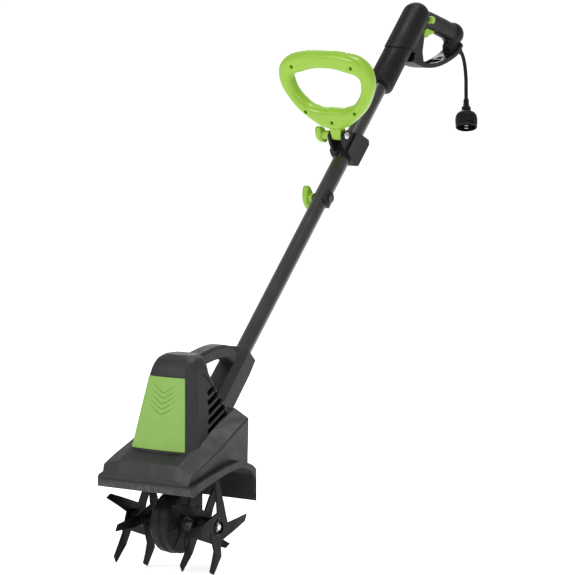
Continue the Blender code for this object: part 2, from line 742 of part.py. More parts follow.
def make_housing():
    guard = helper("guard_outer", loft_mesh("guard_outer", [guard_ring(row) for row in GUARD]))
    # the flared rim follows the guard's lower edge and turns down into the rear flap
    rim = [(row[0], row[5]) for row in GUARD[:5]]
    rim[0] = (-0.0860, 0.0740)
    rim += [(0.0580, 0.0970), (0.0760, 0.0900), (0.0890, 0.0800), (FLAP_REAR, 0.0720), (FLAP_REAR, FLAP_LOW)]
    under = [(FLAP_REAR - 0.0060, FLAP_LOW), (FLAP_REAR - 0.0070, 0.0660), (0.0740, 0.0800), (0.0560, 0.0870)]
    under += [(0.0400, 0.0900), (0.0200, 0.0880), (0.0, 0.0850), (-0.0460, 0.0740), (-0.0735, 0.0660), (-0.0830, 0.0600)]
    outer = outline_mesh("rim", [rim + under], GUARD_HALF)
    join(guard, helper("guard_rim", outer, across_frame()))
    tower_heights = [FLOOR_HEIGHT, 0.1220, 0.1510, 0.1800, 0.2080, 0.2350, 0.2500, 0.2610, 0.2680]
    # what is hollow under the guard
    well_rows = [list(row) for row in GUARD]
    well_rows[0][0] = -0.0790
    well_rows[1][0] = -0.0700
    well_rows[-1][0] -= WALL
    well = loft_mesh("well", [guard_ring(row, WALL, 0.08) for row in well_rows])
    rim_well = [(-0.0815, 0.0690), (-0.0735, 0.0760), (-0.0460, 0.0830), (0.0, 0.0925), (0.0420, 0.0975)]
    rim_well += [(0.0580, 0.0935), (0.0740, 0.0870), (0.0865, 0.0775), (FLAP_REAR - WALL, 0.0710)]
    rim_well += [(FLAP_REAR - WALL, -0.02), (-0.0815, -0.02)]
    inner = outline_mesh("rim_well", [rim_well], GUARD_HALF - WALL)
    cut(guard, helper("guard_well", well), helper("rim_well", inner, across_frame()))
    # the tower over the motor, and the pole's socket
    tower = helper("tower", loft_mesh("tower", [tower_ring(height) for height in tower_heights]))
    socket = helper("socket", socket_mesh(), pole_frame(0))
    carry = helper("carry_handle", carry_handle_mesh())
    join(guard, tower, socket, carry)
    chamber_heights = [FLOOR_HEIGHT + WALL, 0.1220, 0.1510, 0.1800, 0.2080, 0.2350, 0.2500, 0.2600, 0.2645]
    chamber = helper("chamber", loft_mesh("chamber", [tower_ring(height, WALL) for height in chamber_heights]))
    bore = rod_mesh("socket_bore", LOWER_TUBE_RADIUS + FIT, LOWER_TUBE_START - FIT, SOCKET_END + 0.01, 32)
    lead_way = rod_mesh("lead_way", 0.0050, 0.080, LOWER_TUBE_START + 0.01, 12)
    neck = box_mesh(
        "neck_way",
        (-NECK_HALF - FIT, MOTOR_Y - NECK_HALF - FIT, 0.05),
        (NECK_HALF + FIT, MOTOR_Y + NECK_HALF + FIT, FLOOR_HEIGHT + 0.01),
    )
    cut(
        guard,
        chamber,
        helper("socket_bore", bore, pole_frame(0)),
        helper("lead_way", lead_way, pole_frame(0, LEAD_OUT)),
        helper("neck_way", neck),
        *vent_cutters(),
    )
    add_halves("housing", baked(guard), "black_plastic")


LEAD_OUT = 0.0075  # the inner lead runs this far in front of the pole's line


def socket_mesh():
    """An eight-sided sleeve along the pole, wider than deep, with its mouth cut back a little."""
    half, corner = SOCKET_HALF, 0.0095
    ring = [
        (half, half - corner),
        (half - corner, half),
        (corner - half, half),
        (-half, half - corner),
        (-half, corner - half),
        (corner - half, -half),
        (half - corner, -half),
        (half, corner - half),
    ]
    rings = []
    for along, grow in ((0.1120, 1.0), (0.1500, 1.06), (0.2300, 1.02), (SOCKET_END, 0.94)):
        rings.append([(x * grow, y * grow, along) for x, y in ring])
    return loft_mesh("socket", rings)


def carry_handle_mesh():
    """The bridge from the top of the tower to the socket's front."""
    path = [(0.0300, 0.2520), (0.0560, 0.2560), (0.0950, 0.2620), (0.1300, 0.2570), (0.1560, 0.2350)]
    half_width, half_height, corner = 0.0145, 0.0098, 0.0040
    rings = []
    for index, (y, z) in enumerate(path):
        before = path[max(0, index - 1)]
        after = path[min(len(path) - 1, index + 1)]
        run, rise = after[0] - before[0], after[1] - before[1]
        length = math.hypot(run, rise)
        normal = (-rise / length, run / length)
        ring = []
        for x, up in (
            (half_width, half_height - corner),
            (half_width - corner, half_height),
            (corner - half_width, half_height),
            (-half_width, half_height - corner),
            (-half_width, corner - half_height),
            (corner - half_width, -half_height),
            (half_width - corner, -half_height),
            (half_width, corner - half_height),
        ):
            ring.append((x, y + up * normal[0], z + up * normal[1]))
        rings.append(ring)
    return loft_mesh("carry_handle", rings)


VENT_COUNT = 5
VENT_PITCH = 0.0140
VENT_GAP = 0.0062


def vent_cutters():
    """Slanted slots through both sides of the tower, longer towards the bottom."""
    tools = []
    for i in range(VENT_COUNT):
        length = 0.050 - 0.0055 * i
        height = 0.1580 + VENT_PITCH * i
        slope = math.radians(24.0)
        slot = box_mesh("vent", (-0.09, 0.0, -VENT_GAP / 2), (0.09, length, VENT_GAP / 2))
        place = Matrix.Translation((0, 0.0100, height - 0.004)) @ Matrix.Rotation(slope, 4, "X")
        tools.append(helper(f"vent_{i}", slot, place))
    return tools


def make_front_panel():
    """A coloured plate that follows the tower's front."""
    rings = []
    for height in (0.1225, 0.1500, 0.1780, 0.2070, 0.2350):
        front, half = between(TOWER, height)[:2]
        half -= 0.0008
        back, face = front - FIT, front - FIT - PANEL_THICKNESS
        bow = TOWER_BOW
        shares = (-1.0, -0.5, 0.0, 0.5, 1.0)
        lifts = (0.0, 0.75, 1.0, 0.75, 0.0)
        ring = [(share * half, face - bow * lift, height) for share, lift in zip(shares, lifts)]
        ring += [(share * half, back - bow * lift, height) for share, lift in zip(shares[::-1], lifts)]
        rings.append(ring)
    add("front_panel", loft_mesh("front_panel", rings), "green_plastic")


# ---------------------------------------------------------------- pole
def make_pole():
    lower = ring_mesh("lower_tube", LOWER_TUBE_RADIUS - TUBE_WALL, LOWER_TUBE_RADIUS, LOWER_TUBE_START, LOWER_TUBE_END, 32)
    inner = LOWER_TUBE_RADIUS + FIT
    upper = ring_mesh("upper_tube", inner, UPPER_TUBE_RADIUS, TUBE_JOINT, UPPER_TUBE_END, 32)
    lower_tube = add("lower_tube", lower, "pole_steel", pole_frame(0))
    upper_tube = add("upper_tube", upper, "pole_steel", pole_frame(0))
    hole = rod_mesh("tube_bolt_hole", BOLT_RADIUS + FIT, -0.03, 0.03, 16)
    place = pole_frame(TUBE_BOLT_ALONG) @ Matrix.Rotation(math.pi / 2, 4, "Y")
    tool = helper("tube_bolt_hole", hole, place)
    cut(lower_tube, tool)
    cut(upper_tube, tool)
    make_tube_bolt()
    lead = [along_pole(along, LEAD_OUT) for along in (0.1120, 0.3000, 0.5000, 0.7000, UPPER_TUBE_END + 0.006)]
    add("inner_lead", tube_mesh("inner_lead", lead, 0.0030), "rubber")


def saddle_mesh():
    """A curved block that fits the tube and spreads the bolt's pull."""
    inner = UPPER_TUBE_RADIUS + FIT
    spread = math.radians(52)
    steps = 6
    arc = [(inner, -spread + 2 * spread * i / steps) for i in range(steps + 1)]
    back = [(inner + 0.0042, -spread * 0.8 + 1.6 * spread * i / steps) for i in range(steps, -1, -1)]
    outline = [(r * math.cos(a), r * math.sin(a)) for r, a in arc + back]
    return outline_mesh("saddle", [outline], 0.0110)


def make_tube_bolt():
    place = pole_frame(TUBE_BOLT_ALONG)
    saddle = add("tube_saddle", saddle_mesh(), "black_plastic", place)
    hole = rod_mesh("saddle_hole", BOLT_RADIUS + FIT, 0.0, 0.03, 16)
    across = place @ Matrix.Rotation(math.pi / 2, 4, "Y")
    cut(saddle, helper("saddle_hole", hole, across))
    seat = UPPER_TUBE_RADIUS + FIT + 0.0042 + FIT
    add("tube_bolt", bolt_mesh("tube_bolt", seat, -BOLT_REACH), "black_steel", across)
    turned_round = place @ Matrix.Rotation(-math.pi / 2, 4, "Y") @ Matrix.Rotation(math.radians(-60), 4, "Z")
    knob_seat = UPPER_TUBE_RADIUS + 0.0012
    knob = knob_mesh("tube_knob", KNOB_LENGTH, KNOB_STEM, BOLT_REACH + FIT - knob_seat)
    add("tube_knob", knob, "green_plastic", turned_round @ Matrix.Translation((0, 0, knob_seat)))


def bolt_mesh(name, seat, end):
    """A round-headed bolt along Z: its head rests at the seat and its tip is at the end."""
    head, rise = 0.0066, 0.0034
    profile = [(0, seat + rise)]
    profile += [(head * math.sin(math.radians(a)), seat + rise * math.cos(math.radians(a))) for a in (30, 60, 85)]
    profile += [(head, seat), (BOLT_RADIUS, seat), (BOLT_RADIUS, end), (0, end)]
    return turned_mesh(name, profile, 20)


def knob_mesh(name, length, stem_length, depth):
    """A two-winged knob standing on z = 0, with a blind hole of that depth for its bolt."""
    half_long, half_wide = length / 2, KNOB_WIDTH / 2
    outline = [
        (half_long, 0.0),
        (half_long * 0.72, half_wide * 0.74),
        (0.0, half_wide),
        (-half_long * 0.72, half_wide * 0.74),
        (-half_long, 0.0),
        (-half_long * 0.72, -half_wide * 0.74),
        (0.0, -half_wide),
        (half_long * 0.72, -half_wide * 0.74),
    ]
    half = KNOB_THICKNESS / 2
    wings = outline_mesh(name + "_wings", [outline], half, edge=0.0025, smooth=True, resolution=2)
    knob = helper(name + "_wings", wings, Matrix.Translation((0, 0, stem_length + half)))
    stem = rod_mesh("stem", 0.0080, 0.0, stem_length + 0.002, 20)
    join(knob, helper(name + "_stem", stem))
    cut(knob, helper(name + "_hole", rod_mesh("hole", BOLT_RADIUS + FIT, -0.001, depth, 16)))
    knob.parent = None
    mesh = baked_plain(knob)
    return mesh


def baked_plain(obj):
    """The object's mesh in its own working frame."""
    for tool in obj.modifiers:
        tool.object.parent = None
    mesh = baked(obj)
    mesh.transform(axle_frame.matrix_world)
    work = bmesh.new()
    work.from_mesh(mesh)
    bmesh.ops.remove_doubles(work, verts=work.verts, dist=1e-6)
    work.to_mesh(mesh)
    work.free()
    return mesh


# ---------------------------------------------------------------- loop handle
def loop_frame():
    """The loop's own frame at its pivot: X across, Y up along the loop, Z towards the front."""
    turn = Matrix.Rotation(math.pi / 2 + LOOP_LEAN, 4, "X")
    return Matrix.Translation(along_pole(LOOP_PIVOT_ALONG, LOOP_PIVOT_OUT)) @ turn


LOOP_RISE = 0.0265  # from the pivot to the middle of the loop's foot
LOOP_OUTER = [(0.0, 0.1305), (0.0460, 0.1250), (0.0815, 0.1070), (0.0920, 0.0840), (0.0800, 0.0420), (0.0470, 0.0050)]
LOOP_OUTER += [(0.0150, -0.0120)]
LOOP_INNER = [(0.0, 0.0990), (0.0360, 0.0955), (0.0600, 0.0860), (0.0640, 0.0690), (0.0440, 0.0330), (0.0220, 0.0240)]
LOOP_INNER += [(0.0, 0.0235)]


def mirrored(points):
    """A half outline, from the middle of its top round the right side, made whole."""
    left = [(-x, y) for x, y in points[::-1] if x > 0]
    return points + left


def shrunk(points, amount, center):
    """Points moved towards a centre."""
    moved = []
    for x, y in points:
        dx, dy = center[0] - x, center[1] - y
        length = math.hypot(dx, dy)
        moved.append((x + amount * dx / length, y + amount * dy / length))
    return moved


def make_loop_handle():
    frame = loop_frame()
    middle = (0.0, 0.0600)
    wide = LOOP_HALF_WIDTH / 0.0920
    outer = shrunk([(x * wide, y) for x, y in mirrored(LOOP_OUTER)], LOOP_EDGE, middle)
    inner = shrunk([(x * wide, y) for x, y in mirrored(LOOP_INNER)], -LOOP_EDGE, middle)
    ring = outline_mesh("loop_ring", [outer, inner], LOOP_DEPTH / 2, LOOP_EDGE, smooth=True, resolution=3)
    loop = helper("loop_ring", ring, frame @ Matrix.Translation((0, LOOP_RISE, 0)))
    half = TONGUE_WIDTH / 2
    deep = 0.0085
    tongue = box_mesh("tongue", (-half, 0.0, -deep), (half, LOOP_RISE + 0.004, deep))
    toe = rod_mesh("toe", deep, -half, half, 24)
    join(
        loop,
        helper("loop_tongue", tongue, frame),
        helper("loop_toe", toe, frame @ Matrix.Rotation(math.pi / 2, 4, "Y")),
    )
    bolt_way = rod_mesh("bolt_way", BOLT_RADIUS + FIT, -0.03, 0.03, 16)
    screws = []
    for x, y in LOOP_SCREWS:
        place = frame @ Matrix.Translation((x, LOOP_RISE + y, 0))
        screws.append(place)
        well = rod_mesh("screw_well", SCREW_HEAD + FIT, LOOP_DEPTH / 2 - SCREW_DEPTH - 0.0025, LOOP_DEPTH, 12)
        shank = rod_mesh("screw_way", SCREW_RADIUS + FIT, -LOOP_DEPTH / 2 + 0.004, LOOP_DEPTH / 2, 12)
        cut(loop, helper("screw_well", well, place), helper("screw_way", shank, place))
    cut(loop, helper("loop_bolt_way", bolt_way, frame @ Matrix.Rotation(math.pi / 2, 4, "Y")))
    mesh = baked(loop)
    for name, low, high in (("front", FIT / 2, 0.05), ("rear", -0.05, -FIT / 2)):
        piece = add("loop_handle_" + name, mesh.copy(), "green_plastic")
        keep = box_mesh("loop_half", (-0.2, -0.1, low), (0.2, 0.3, high))
        boolean(piece, helper(f"loop_{name}_space", keep, frame), "INTERSECT")
    bpy.data.meshes.remove(mesh)
    for index, place in enumerate(screws):
        top = LOOP_DEPTH / 2 - SCREW_DEPTH
        profile = [
            (0, top),
            (SCREW_HEAD, top),
            (SCREW_HEAD, top - 0.0020),
            (SCREW_RADIUS, top - 0.0022),
            (SCREW_RADIUS, -LOOP_DEPTH / 2 + 0.005),
            (0, -LOOP_DEPTH / 2 + 0.005),
        ]
        name = f"loop_screw_{index + 1}"
        add(name, turned_mesh(name, profile, 12), "black_steel", place)


SCREW_HEAD = 0.0026
SCREW_RADIUS = 0.0014
SCREW_DEPTH = 0.0060
LOOP_SCREWS = [(-0.0590, 0.1010), (0.0590, 0.1010), (-0.0490, 0.0190), (0.0490, 0.0190), (0.0, 0.0010)]


def make_loop_clamp():
    """The clamp on the pole: two cheeks joined behind and in front of the tube, with the pivot between them."""
    gap = TONGUE_WIDTH / 2 + 0.0004
    outer = gap + CHEEK_THICKNESS
    # outline in the pole's frame: X is out in front of the pole, Y runs up it
    cheek = [
        (-0.0245, 0.6860),
        (-0.0245, 0.7340),
        (-0.0180, 0.7390),
        (0.0060, 0.7300),
        (0.0400, 0.7100),
        (0.0455, 0.7010),
        (0.0430, 0.6920),
        (0.0340, 0.6870),
        (0.0080, 0.6800),
        (-0.0180, 0.6800),
    ]
    sine, cosine = math.sin(POLE_LEAN), math.cos(POLE_LEAN)
    foot = along_pole(0)
    frame = Matrix(
        (
            (0, 0, 1, 0),
            (-cosine, sine, 0, foot.y),
            (sine, cosine, 0, foot.z),
            (0, 0, 0, 1),
        )
    )
    body = helper("clamp_body", outline_mesh("clamp_body", [cheek], outer + 0.0035), frame)
    way = UPPER_TUBE_RADIUS + FIT
    tube_way = rod_mesh("tube_way", way, 0.65, 0.76, 32)
    # the cheeks stand clear of the tongue through its whole swing
    slot = box_mesh("tongue_slot", (way + 0.0008, 0.60, -gap), (0.08, 0.80, gap))
    # the sides are relieved in front of the tube
    reliefs = []
    for toward in (1, -1):
        low, high = sorted((toward * outer, toward * 0.05))
        reliefs.append(helper("clamp_relief", box_mesh("relief", (way + 0.0030, 0.60, low), (0.08, 0.80, high)), frame))
    bolt_way = rod_mesh("clamp_bolt_way", BOLT_RADIUS + FIT, -0.04, 0.04, 16)
    across = loop_frame() @ Matrix.Rotation(math.pi / 2, 4, "Y")
    cut(
        body,
        helper("clamp_tube_way", tube_way, pole_frame(0)),
        helper("clamp_slot", slot, frame),
        *reliefs,
        helper("clamp_bolt_way", bolt_way, across),
    )
    add("loop_clamp", baked(body), "black_plastic")
    seat = outer + FIT
    add("loop_bolt", bolt_mesh("loop_bolt", seat, -BOLT_REACH), "black_steel", across)
    turn = loop_frame() @ Matrix.Rotation(-math.pi / 2, 4, "Y") @ Matrix.Rotation(math.radians(69), 4, "Z")
    knob = knob_mesh("loop_knob", LOOP_KNOB_LENGTH, LOOP_KNOB_STEM, BOLT_REACH + FIT - seat)
    add("loop_knob", knob, "green_plastic", turn @ Matrix.Translation((0, 0, seat)))


# ---------------------------------------------------------------- main handle
GRIP_PATH = [(1.0120, -0.0050), (1.0300, -0.0330), (1.0470, -0.0630), (1.0630, -0.0930), (1.0690, -0.1090)]
STRAP_LINE = [(1.0660, -0.1310), (1.0450, -0.1300), (1.0180, -0.1180), (0.9880, -0.0990), (0.9640, -0.0770)]
STRAP_LINE += [(0.9460, -0.0520), (0.9340, -0.0260), (0.9280, -0.0060)]
KNUCKLE = (1.0720, -0.1120)  # the round end of the grip
KNUCKLE_RADIUS = 0.0205


def handle_frame():
    """X runs up the pole and Y out in front of it, so that thickness runs across the machine."""
    sine, cosine = math.sin(POLE_LEAN), math.cos(POLE_LEAN)
    foot = along_pole(0)
    return Matrix(
        (
            (0, 0, 1, 0),
            (sine, -cosine, 0, foot.y),
            (cosine, sine, 0, foot.z),
            (0, 0, 0, 1),
        )
    )


def band(line, thickness):
    """The outline of a band of one thickness along a line."""
    points = smooth_line([Vector(point) for point in line], 2)
    sides = []
    for index, point in enumerate(points):
        way = points[min(index + 1, len(points) - 1)] - points[max(index - 1, 0)]
        way.normalize()
        sides.append(Vector((-way.y, way.x)) * thickness / 2)
    left = [tuple(point + side) for point, side in zip(points, sides)]
    right = [tuple(point - side) for point, side in zip(points, sides)]
    return left + right[::-1]


def make_main_handle():
    frame = handle_frame()
    dome = [(BODY_RADIUS * math.sin(math.radians(a)), BODY_TOP - BODY_RADIUS * (1 - math.cos(math.radians(a)))) for a in (0, 22, 45, 68, 90)]
    profile = dome + [
        (BODY_RADIUS, BODY_START + 0.004),
        (SLEEVE_RADIUS, BODY_START),
        (SLEEVE_RADIUS + 0.0005, SLEEVE_START + 0.004),
        (SLEEVE_RADIUS - 0.001, SLEEVE_START),
        (0, SLEEVE_START),
    ]
    body = helper("handle_body", turned_mesh("handle_body", profile, 32), pole_frame(0))
    path = [along_pole(along, out) for along, out in GRIP_PATH]
    grip = helper("handle_grip", tube_mesh("handle_grip", smooth_line(path, 2), GRIP_RADIUS, 3))
    strap = helper("handle_strap", outline_mesh("handle_strap", [band(STRAP_LINE, STRAP_THICKNESS)], STRAP_HALF_WIDTH), frame)
    ball = bmesh.new()
    bmesh.ops.create_uvsphere(ball, u_segments=16, v_segments=9, radius=KNUCKLE_RADIUS)
    knuckle = helper("handle_knuckle", mesh_from(ball, "knuckle"), Matrix.Translation(along_pole(*KNUCKLE)))
    join(body, grip, strap, knuckle)
    bore = rod_mesh("handle_bore", UPPER_TUBE_RADIUS + FIT, 0.80, UPPER_TUBE_END + FIT, 32)
    lead_room = rod_mesh("lead_room", 0.0095, UPPER_TUBE_END - 0.002, 1.0080, 16)
    switch_room = box_mesh("switch_room", SWITCH_LOW - Vector((FIT, FIT, FIT)), SWITCH_HIGH + Vector((FIT, FIT, FIT)))
    lock_way = rod_mesh("lock_way", LOCK_RADIUS + FIT, 0.0, 0.05, 20)
    pin_reach = TRIGGER_HALF + PIN_HOLD + FIT
    pin_room = rod_mesh("pin_room", PIN_RADIUS + FIT, -pin_reach, pin_reach, 12)
    cut(
        body,
        helper("handle_bore", bore, pole_frame(0)),
        helper("lead_room", lead_room, pole_frame(0, 0.004)),
        helper("switch_room", switch_room, frame),
        helper("trigger_room", outline_mesh("trigger_room", [TRIGGER_ROOM], TRIGGER_HALF + 0.0006), frame),
        helper("lock_way", lock_way, frame @ Matrix.Translation(LOCK_PLACE)),
        helper("pin_room", pin_room, frame @ Matrix.Translation((*TRIGGER_PIVOT, 0))),
        helper("boot_way", rod_mesh("boot_way", 0.0058, -0.012, 0.02, 16), cord_exit_frame()),
        helper("cord_hook_slot", box_mesh("hook", (1.008, -0.135, -0.006), (1.020, -0.095, 0.006)), frame),
    )
    add_halves("handle", baked(body), "handle_plastic")
    make_switch(frame)


SWITCH_LOW = Vector((1.0135, -0.0330, -0.0075))
SWITCH_HIGH = Vector((1.0300, -0.0060, 0.0075))
TRIGGER_HALF = 0.0060
PIN_RADIUS = 0.0015
PIN_HOLD = 0.0045  # how far the trigger's pin reaches into each half of the handle
TRIGGER_PIVOT = (1.0300, -0.0560)
TRIGGER = [(1.0105, -0.0345), (1.0015, -0.0370), (1.0020, -0.0465), (1.0110, -0.0500), (1.0270, -0.0600)]
TRIGGER += [(1.0340, -0.0590), (1.0340, -0.0520), (1.0230, -0.0420), (1.0160, -0.0365)]
TRIGGER_ROOM = [(1.0000, -0.0300), (1.0000, -0.0500), (1.0170, -0.0570), (1.0250, -0.0640), (1.0380, -0.0620)]
TRIGGER_ROOM += [(1.0380, -0.0480), (1.0290, -0.0340), (1.0160, -0.0320)]
LOCK_PLACE = Vector((1.0180, -0.0180, 0.0))


def make_switch(frame):
    add("power_switch", box_mesh("power_switch", SWITCH_LOW, SWITCH_HIGH), "rubber", frame)
    pivot = Matrix.Translation((*TRIGGER_PIVOT, 0))
    outline = [(x - TRIGGER_PIVOT[0], y - TRIGGER_PIVOT[1]) for x, y in TRIGGER]
    trigger = add("trigger", outline_mesh("trigger", [outline], TRIGGER_HALF), "green_plastic", frame @ pivot)
    pin_way = rod_mesh("pin_way", PIN_RADIUS + FIT, -0.02, 0.02, 12)
    cut(trigger, helper("trigger_pin_way", pin_way, frame @ pivot))
    reach = TRIGGER_HALF + PIN_HOLD
    pin = rod_mesh("trigger_pin", PIN_RADIUS, -reach, reach, 12)
    add("trigger_pin", pin, "bright_steel", frame @ pivot)
    # the lock button slides in from the right side, above the switch
    low = SWITCH_HIGH.z + LOCK_TRAVEL + 0.0008
    top = BODY_RADIUS + 0.0020
    profile = [(0, top), (LOCK_RADIUS * 0.75, top - 0.0004), (LOCK_RADIUS, top - 0.0018), (LOCK_RADIUS, low), (0, low)]
    add("lock_button", turned_mesh("lock_button", profile, 20), "green_plastic", frame @ Matrix.Translation(LOCK_PLACE))


# ---------------------------------------------------------------- power cord
def cord_exit_frame():
    """Where the cord leaves the handle: Z points out, behind and down."""
    out = (CORD_ROUTE[1] - CORD_ROUTE[0]).normalized()
    return Matrix.Translation(BOOT_START) @ out.to_track_quat("Z", "X").to_matrix().to_4x4()


BOOT_START = Vector((0.0, 0.8520, 0.7315))
# the cord's route from the axle, from the strain relief to the plug
CORD_ROUTE = [
    Vector((0.0, 0.8690, 0.7110)),
    Vector((0.0, 0.8758, 0.7010)),
    Vector((0.0, 0.8810, 0.6880)),
    Vector((0.0, 0.8842, 0.6730)),
    Vector((0.0, 0.8858, 0.6600)),
    Vector((0.0, 0.8860, 0.6520)),
    Vector((0.0004, 0.8854, 0.6433)),
    Vector((0.0017, 0.8835, 0.6349)),
    Vector((0.0037, 0.8804, 0.6270)),
]


def make_cord():
    exit_frame = cord_exit_frame()
    length = (CORD_ROUTE[0] - BOOT_START).length - FIT
    profile = [
        (0, length),
        (CORD_DIAMETER / 2 + 0.0009, length),
        (0.0054, 0.006),
        (0.0054, -0.010),
        (0, -0.010),
    ]
    add("strain_relief", turned_mesh("strain_relief", profile, 16), "rubber", exit_frame)
    route = smooth_line(CORD_ROUTE, 2)
    add("power_cord", tube_mesh("power_cord", route, CORD_DIAMETER / 2, 2), "rubber")
    # the plug hangs from the cord's end and follows its slant
    end, before = route[-1], route[-2]
    down = (end - before).normalized()
    place = Matrix.Translation(end + down * FIT) @ down.to_track_quat("Z", "X").to_matrix().to_4x4()
    boot = [(0.0088, 0.0250), (0.0080, 0.0150), (0.0056, 0.0130), (0.0050, 0.0), (0, 0.0)]
    body_top = 0.0250
    body_end = body_top + PLUG_LENGTH
    floor = body_end - PLUG_RECESS
    shell = [
        (0, body_end - PLUG_RECESS),
        (PLUG_RADIUS - 0.0022, floor),
        (PLUG_RADIUS - 0.0022, body_end),
        (PLUG_RADIUS, body_end),
        (PLUG_RADIUS, body_top + 0.0080),
        (PLUG_RADIUS * 0.62, body_top),
        *boot,
    ]
    plug = add("plug_body", turned_mesh("plug_body", shell, 28), "rubber", place)
    for index, side in enumerate((-0.5, 0.5)):
        x = side * BLADE_PITCH
        slot = box_mesh("slot", (x - 0.00075 - FIT, -0.0032 - FIT, floor - 0.008), (x + 0.00075 + FIT, 0.0032 + FIT, floor + 0.001))
        cut(plug, helper(f"blade_slot_{index}", slot, place))
        name = f"plug_blade_{index + 1}"
        blade = box_mesh(name, (x - 0.00075, -0.0032, floor - 0.008 + FIT), (x + 0.00075, 0.0032, body_end - 0.001))
        add(name, blade, "bright_steel", place)


# ---------------------------------------------------------------- the whole machine
make_tines()
axle_frame.location.z = -lowest_tine_point()
make_axle()
make_worm_shaft()
make_worm_wheel()
make_gearbox()
make_motor()
make_housing()
make_front_panel()
make_pole()
make_loop_handle()
make_loop_clamp()
make_main_handle()
make_cord()
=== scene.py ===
"""Looks of a small corded garden cultivator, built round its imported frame, laid out as an add-on.

Metres, +Z up. The machine faces -Y and its tine axle lies along X. Every operator makes one piece or
one group of like pieces, hides the frame's nodes that it stands for, and moves with their body.
"""

import json
import math

import bmesh
import bpy
from bpy.props import FloatProperty, FloatVectorProperty, IntProperty, PointerProperty
from mathutils import Matrix, Vector

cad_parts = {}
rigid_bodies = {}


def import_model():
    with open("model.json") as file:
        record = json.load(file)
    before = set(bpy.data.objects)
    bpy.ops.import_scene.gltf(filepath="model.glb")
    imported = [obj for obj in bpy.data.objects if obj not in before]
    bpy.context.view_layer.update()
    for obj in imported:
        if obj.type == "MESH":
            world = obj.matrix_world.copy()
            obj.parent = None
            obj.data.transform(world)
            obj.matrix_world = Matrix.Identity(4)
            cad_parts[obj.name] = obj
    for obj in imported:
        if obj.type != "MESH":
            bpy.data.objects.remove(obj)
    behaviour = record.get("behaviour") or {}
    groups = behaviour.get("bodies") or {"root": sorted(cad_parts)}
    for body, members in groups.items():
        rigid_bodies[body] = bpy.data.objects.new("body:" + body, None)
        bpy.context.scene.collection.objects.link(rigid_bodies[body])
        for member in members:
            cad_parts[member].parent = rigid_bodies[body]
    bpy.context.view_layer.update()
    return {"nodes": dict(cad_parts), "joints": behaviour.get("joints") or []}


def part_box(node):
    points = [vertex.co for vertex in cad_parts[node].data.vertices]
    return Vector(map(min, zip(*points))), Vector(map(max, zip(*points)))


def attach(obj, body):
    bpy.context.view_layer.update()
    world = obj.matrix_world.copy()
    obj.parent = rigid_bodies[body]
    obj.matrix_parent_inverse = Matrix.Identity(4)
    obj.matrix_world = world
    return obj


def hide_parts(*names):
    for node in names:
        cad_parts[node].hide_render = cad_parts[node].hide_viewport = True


for startup in list(bpy.data.objects):
    bpy.data.objects.remove(startup)
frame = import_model()

bl_info = {
    "name": "Mini cultivator",
    "version": (1, 0, 0),
    "blender": (4, 5, 0),
    "location": "View3D > Sidebar > Cultivator",
    "description": "Builds a corded garden cultivator piece by piece round its packed frame",
    "category": "Object",
}

JOINTS = {joint["name"]: joint for joint in frame["joints"]}
AXLE = Vector(JOINTS["tine_spin"]["pos_m"])
LOOP_PIVOT = Vector(JOINTS["loop_tilt"]["pos_m"])

POLE_LEAN = math.radians(45.0)
POLE_HEIGHT = 0.066  # the pole's line passes this far above the axle
LOOP_LEAN = math.radians(20.0)  # of the loop, back from upright
FIT = 0.0003  # the gap between parts that fit together
IN_PLACE = Matrix.Identity(4)
ACROSS = Matrix.Rotation(math.pi / 2, 4, "Y")
TO_LEFT = Matrix.Rotation(-math.pi / 2, 4, "Y")


# ---------------------------------------------------------------- settings
def length(name, description, default, low, high):
    """A length that a user can set."""
    return FloatProperty(name=name, description=description, default=default, min=low, max=high,
        unit="LENGTH")


def count_of(name, description, default, low, high):
    """A count that a user can set."""
    return IntProperty(name=name, description=description, default=default, min=low, max=high)


def tint(name, description, default):
    """A colour that a user can set."""
    return FloatVectorProperty(
        name=name, description=description, subtype="COLOR", size=3, default=default, min=0, max=1
    )


class CultivatorSizes(bpy.types.PropertyGroup):
    """Sizes that a user would change."""

    corner: length("Moulded corner", "Rounding of the housing's corners", 0.0016, 0.0004, 0.004)
    tine_corner: length("Tine corner", "Rounding of the pressed tines' edges", 0.0005, 0.0001, 0.0012)
    loop_radius: length("Loop thickness",
        "Half the thickness of the loop handle's ring, seen from the front", 0.0142, 0.01, 0.018)
    grip_radius: length("Grip radius", "Radius of the main handle's grip", 0.0165, 0.012, 0.018)
    moulding_step: length("Moulding step", "Fineness of the blended handles' surface", 0.0012, 0.0008, 0.003)
    vent_count: count_of("Vent slats", "Slats in each side vent", 5, 2, 8)
    chevron_count: count_of("Chevrons", "Engraved chevrons on the front panel", 5, 1, 7)
    rib_count: count_of("Strain relief ribs", "Ribs round the cord's strain relief", 7, 3, 10)


class CultivatorFinishes(bpy.types.PropertyGroup):
    """Colours that a user would change."""

    housing: tint("Housing", "Colour of the housing's plastic", (0.0185, 0.0185, 0.0195))
    grip: tint("Main handle", "Colour of the main handle's plastic", (0.0065, 0.0065, 0.0072))
    accent: tint("Accent", "Colour of the loop handle, knobs, trigger and lock button", (0.245, 0.445, 0.018))
    panel: tint("Front panel", "Colour of the front panel", (0.225, 0.395, 0.085))
    tines: tint("Tines", "Colour of the tines' enamel", (0.0028, 0.0028, 0.0031))
    pole: tint("Pole", "Colour of the pole's powder coat", (0.01, 0.01, 0.0105))


# ---------------------------------------------------------------- placing
def moved(x, y, z):
    """A frame moved to a point."""
    return Matrix.Translation((x, y, z))


def spun(angle, axis):
    """A frame turned by an angle in degrees about an axis."""
    return Matrix.Rotation(math.radians(angle), 4, axis)


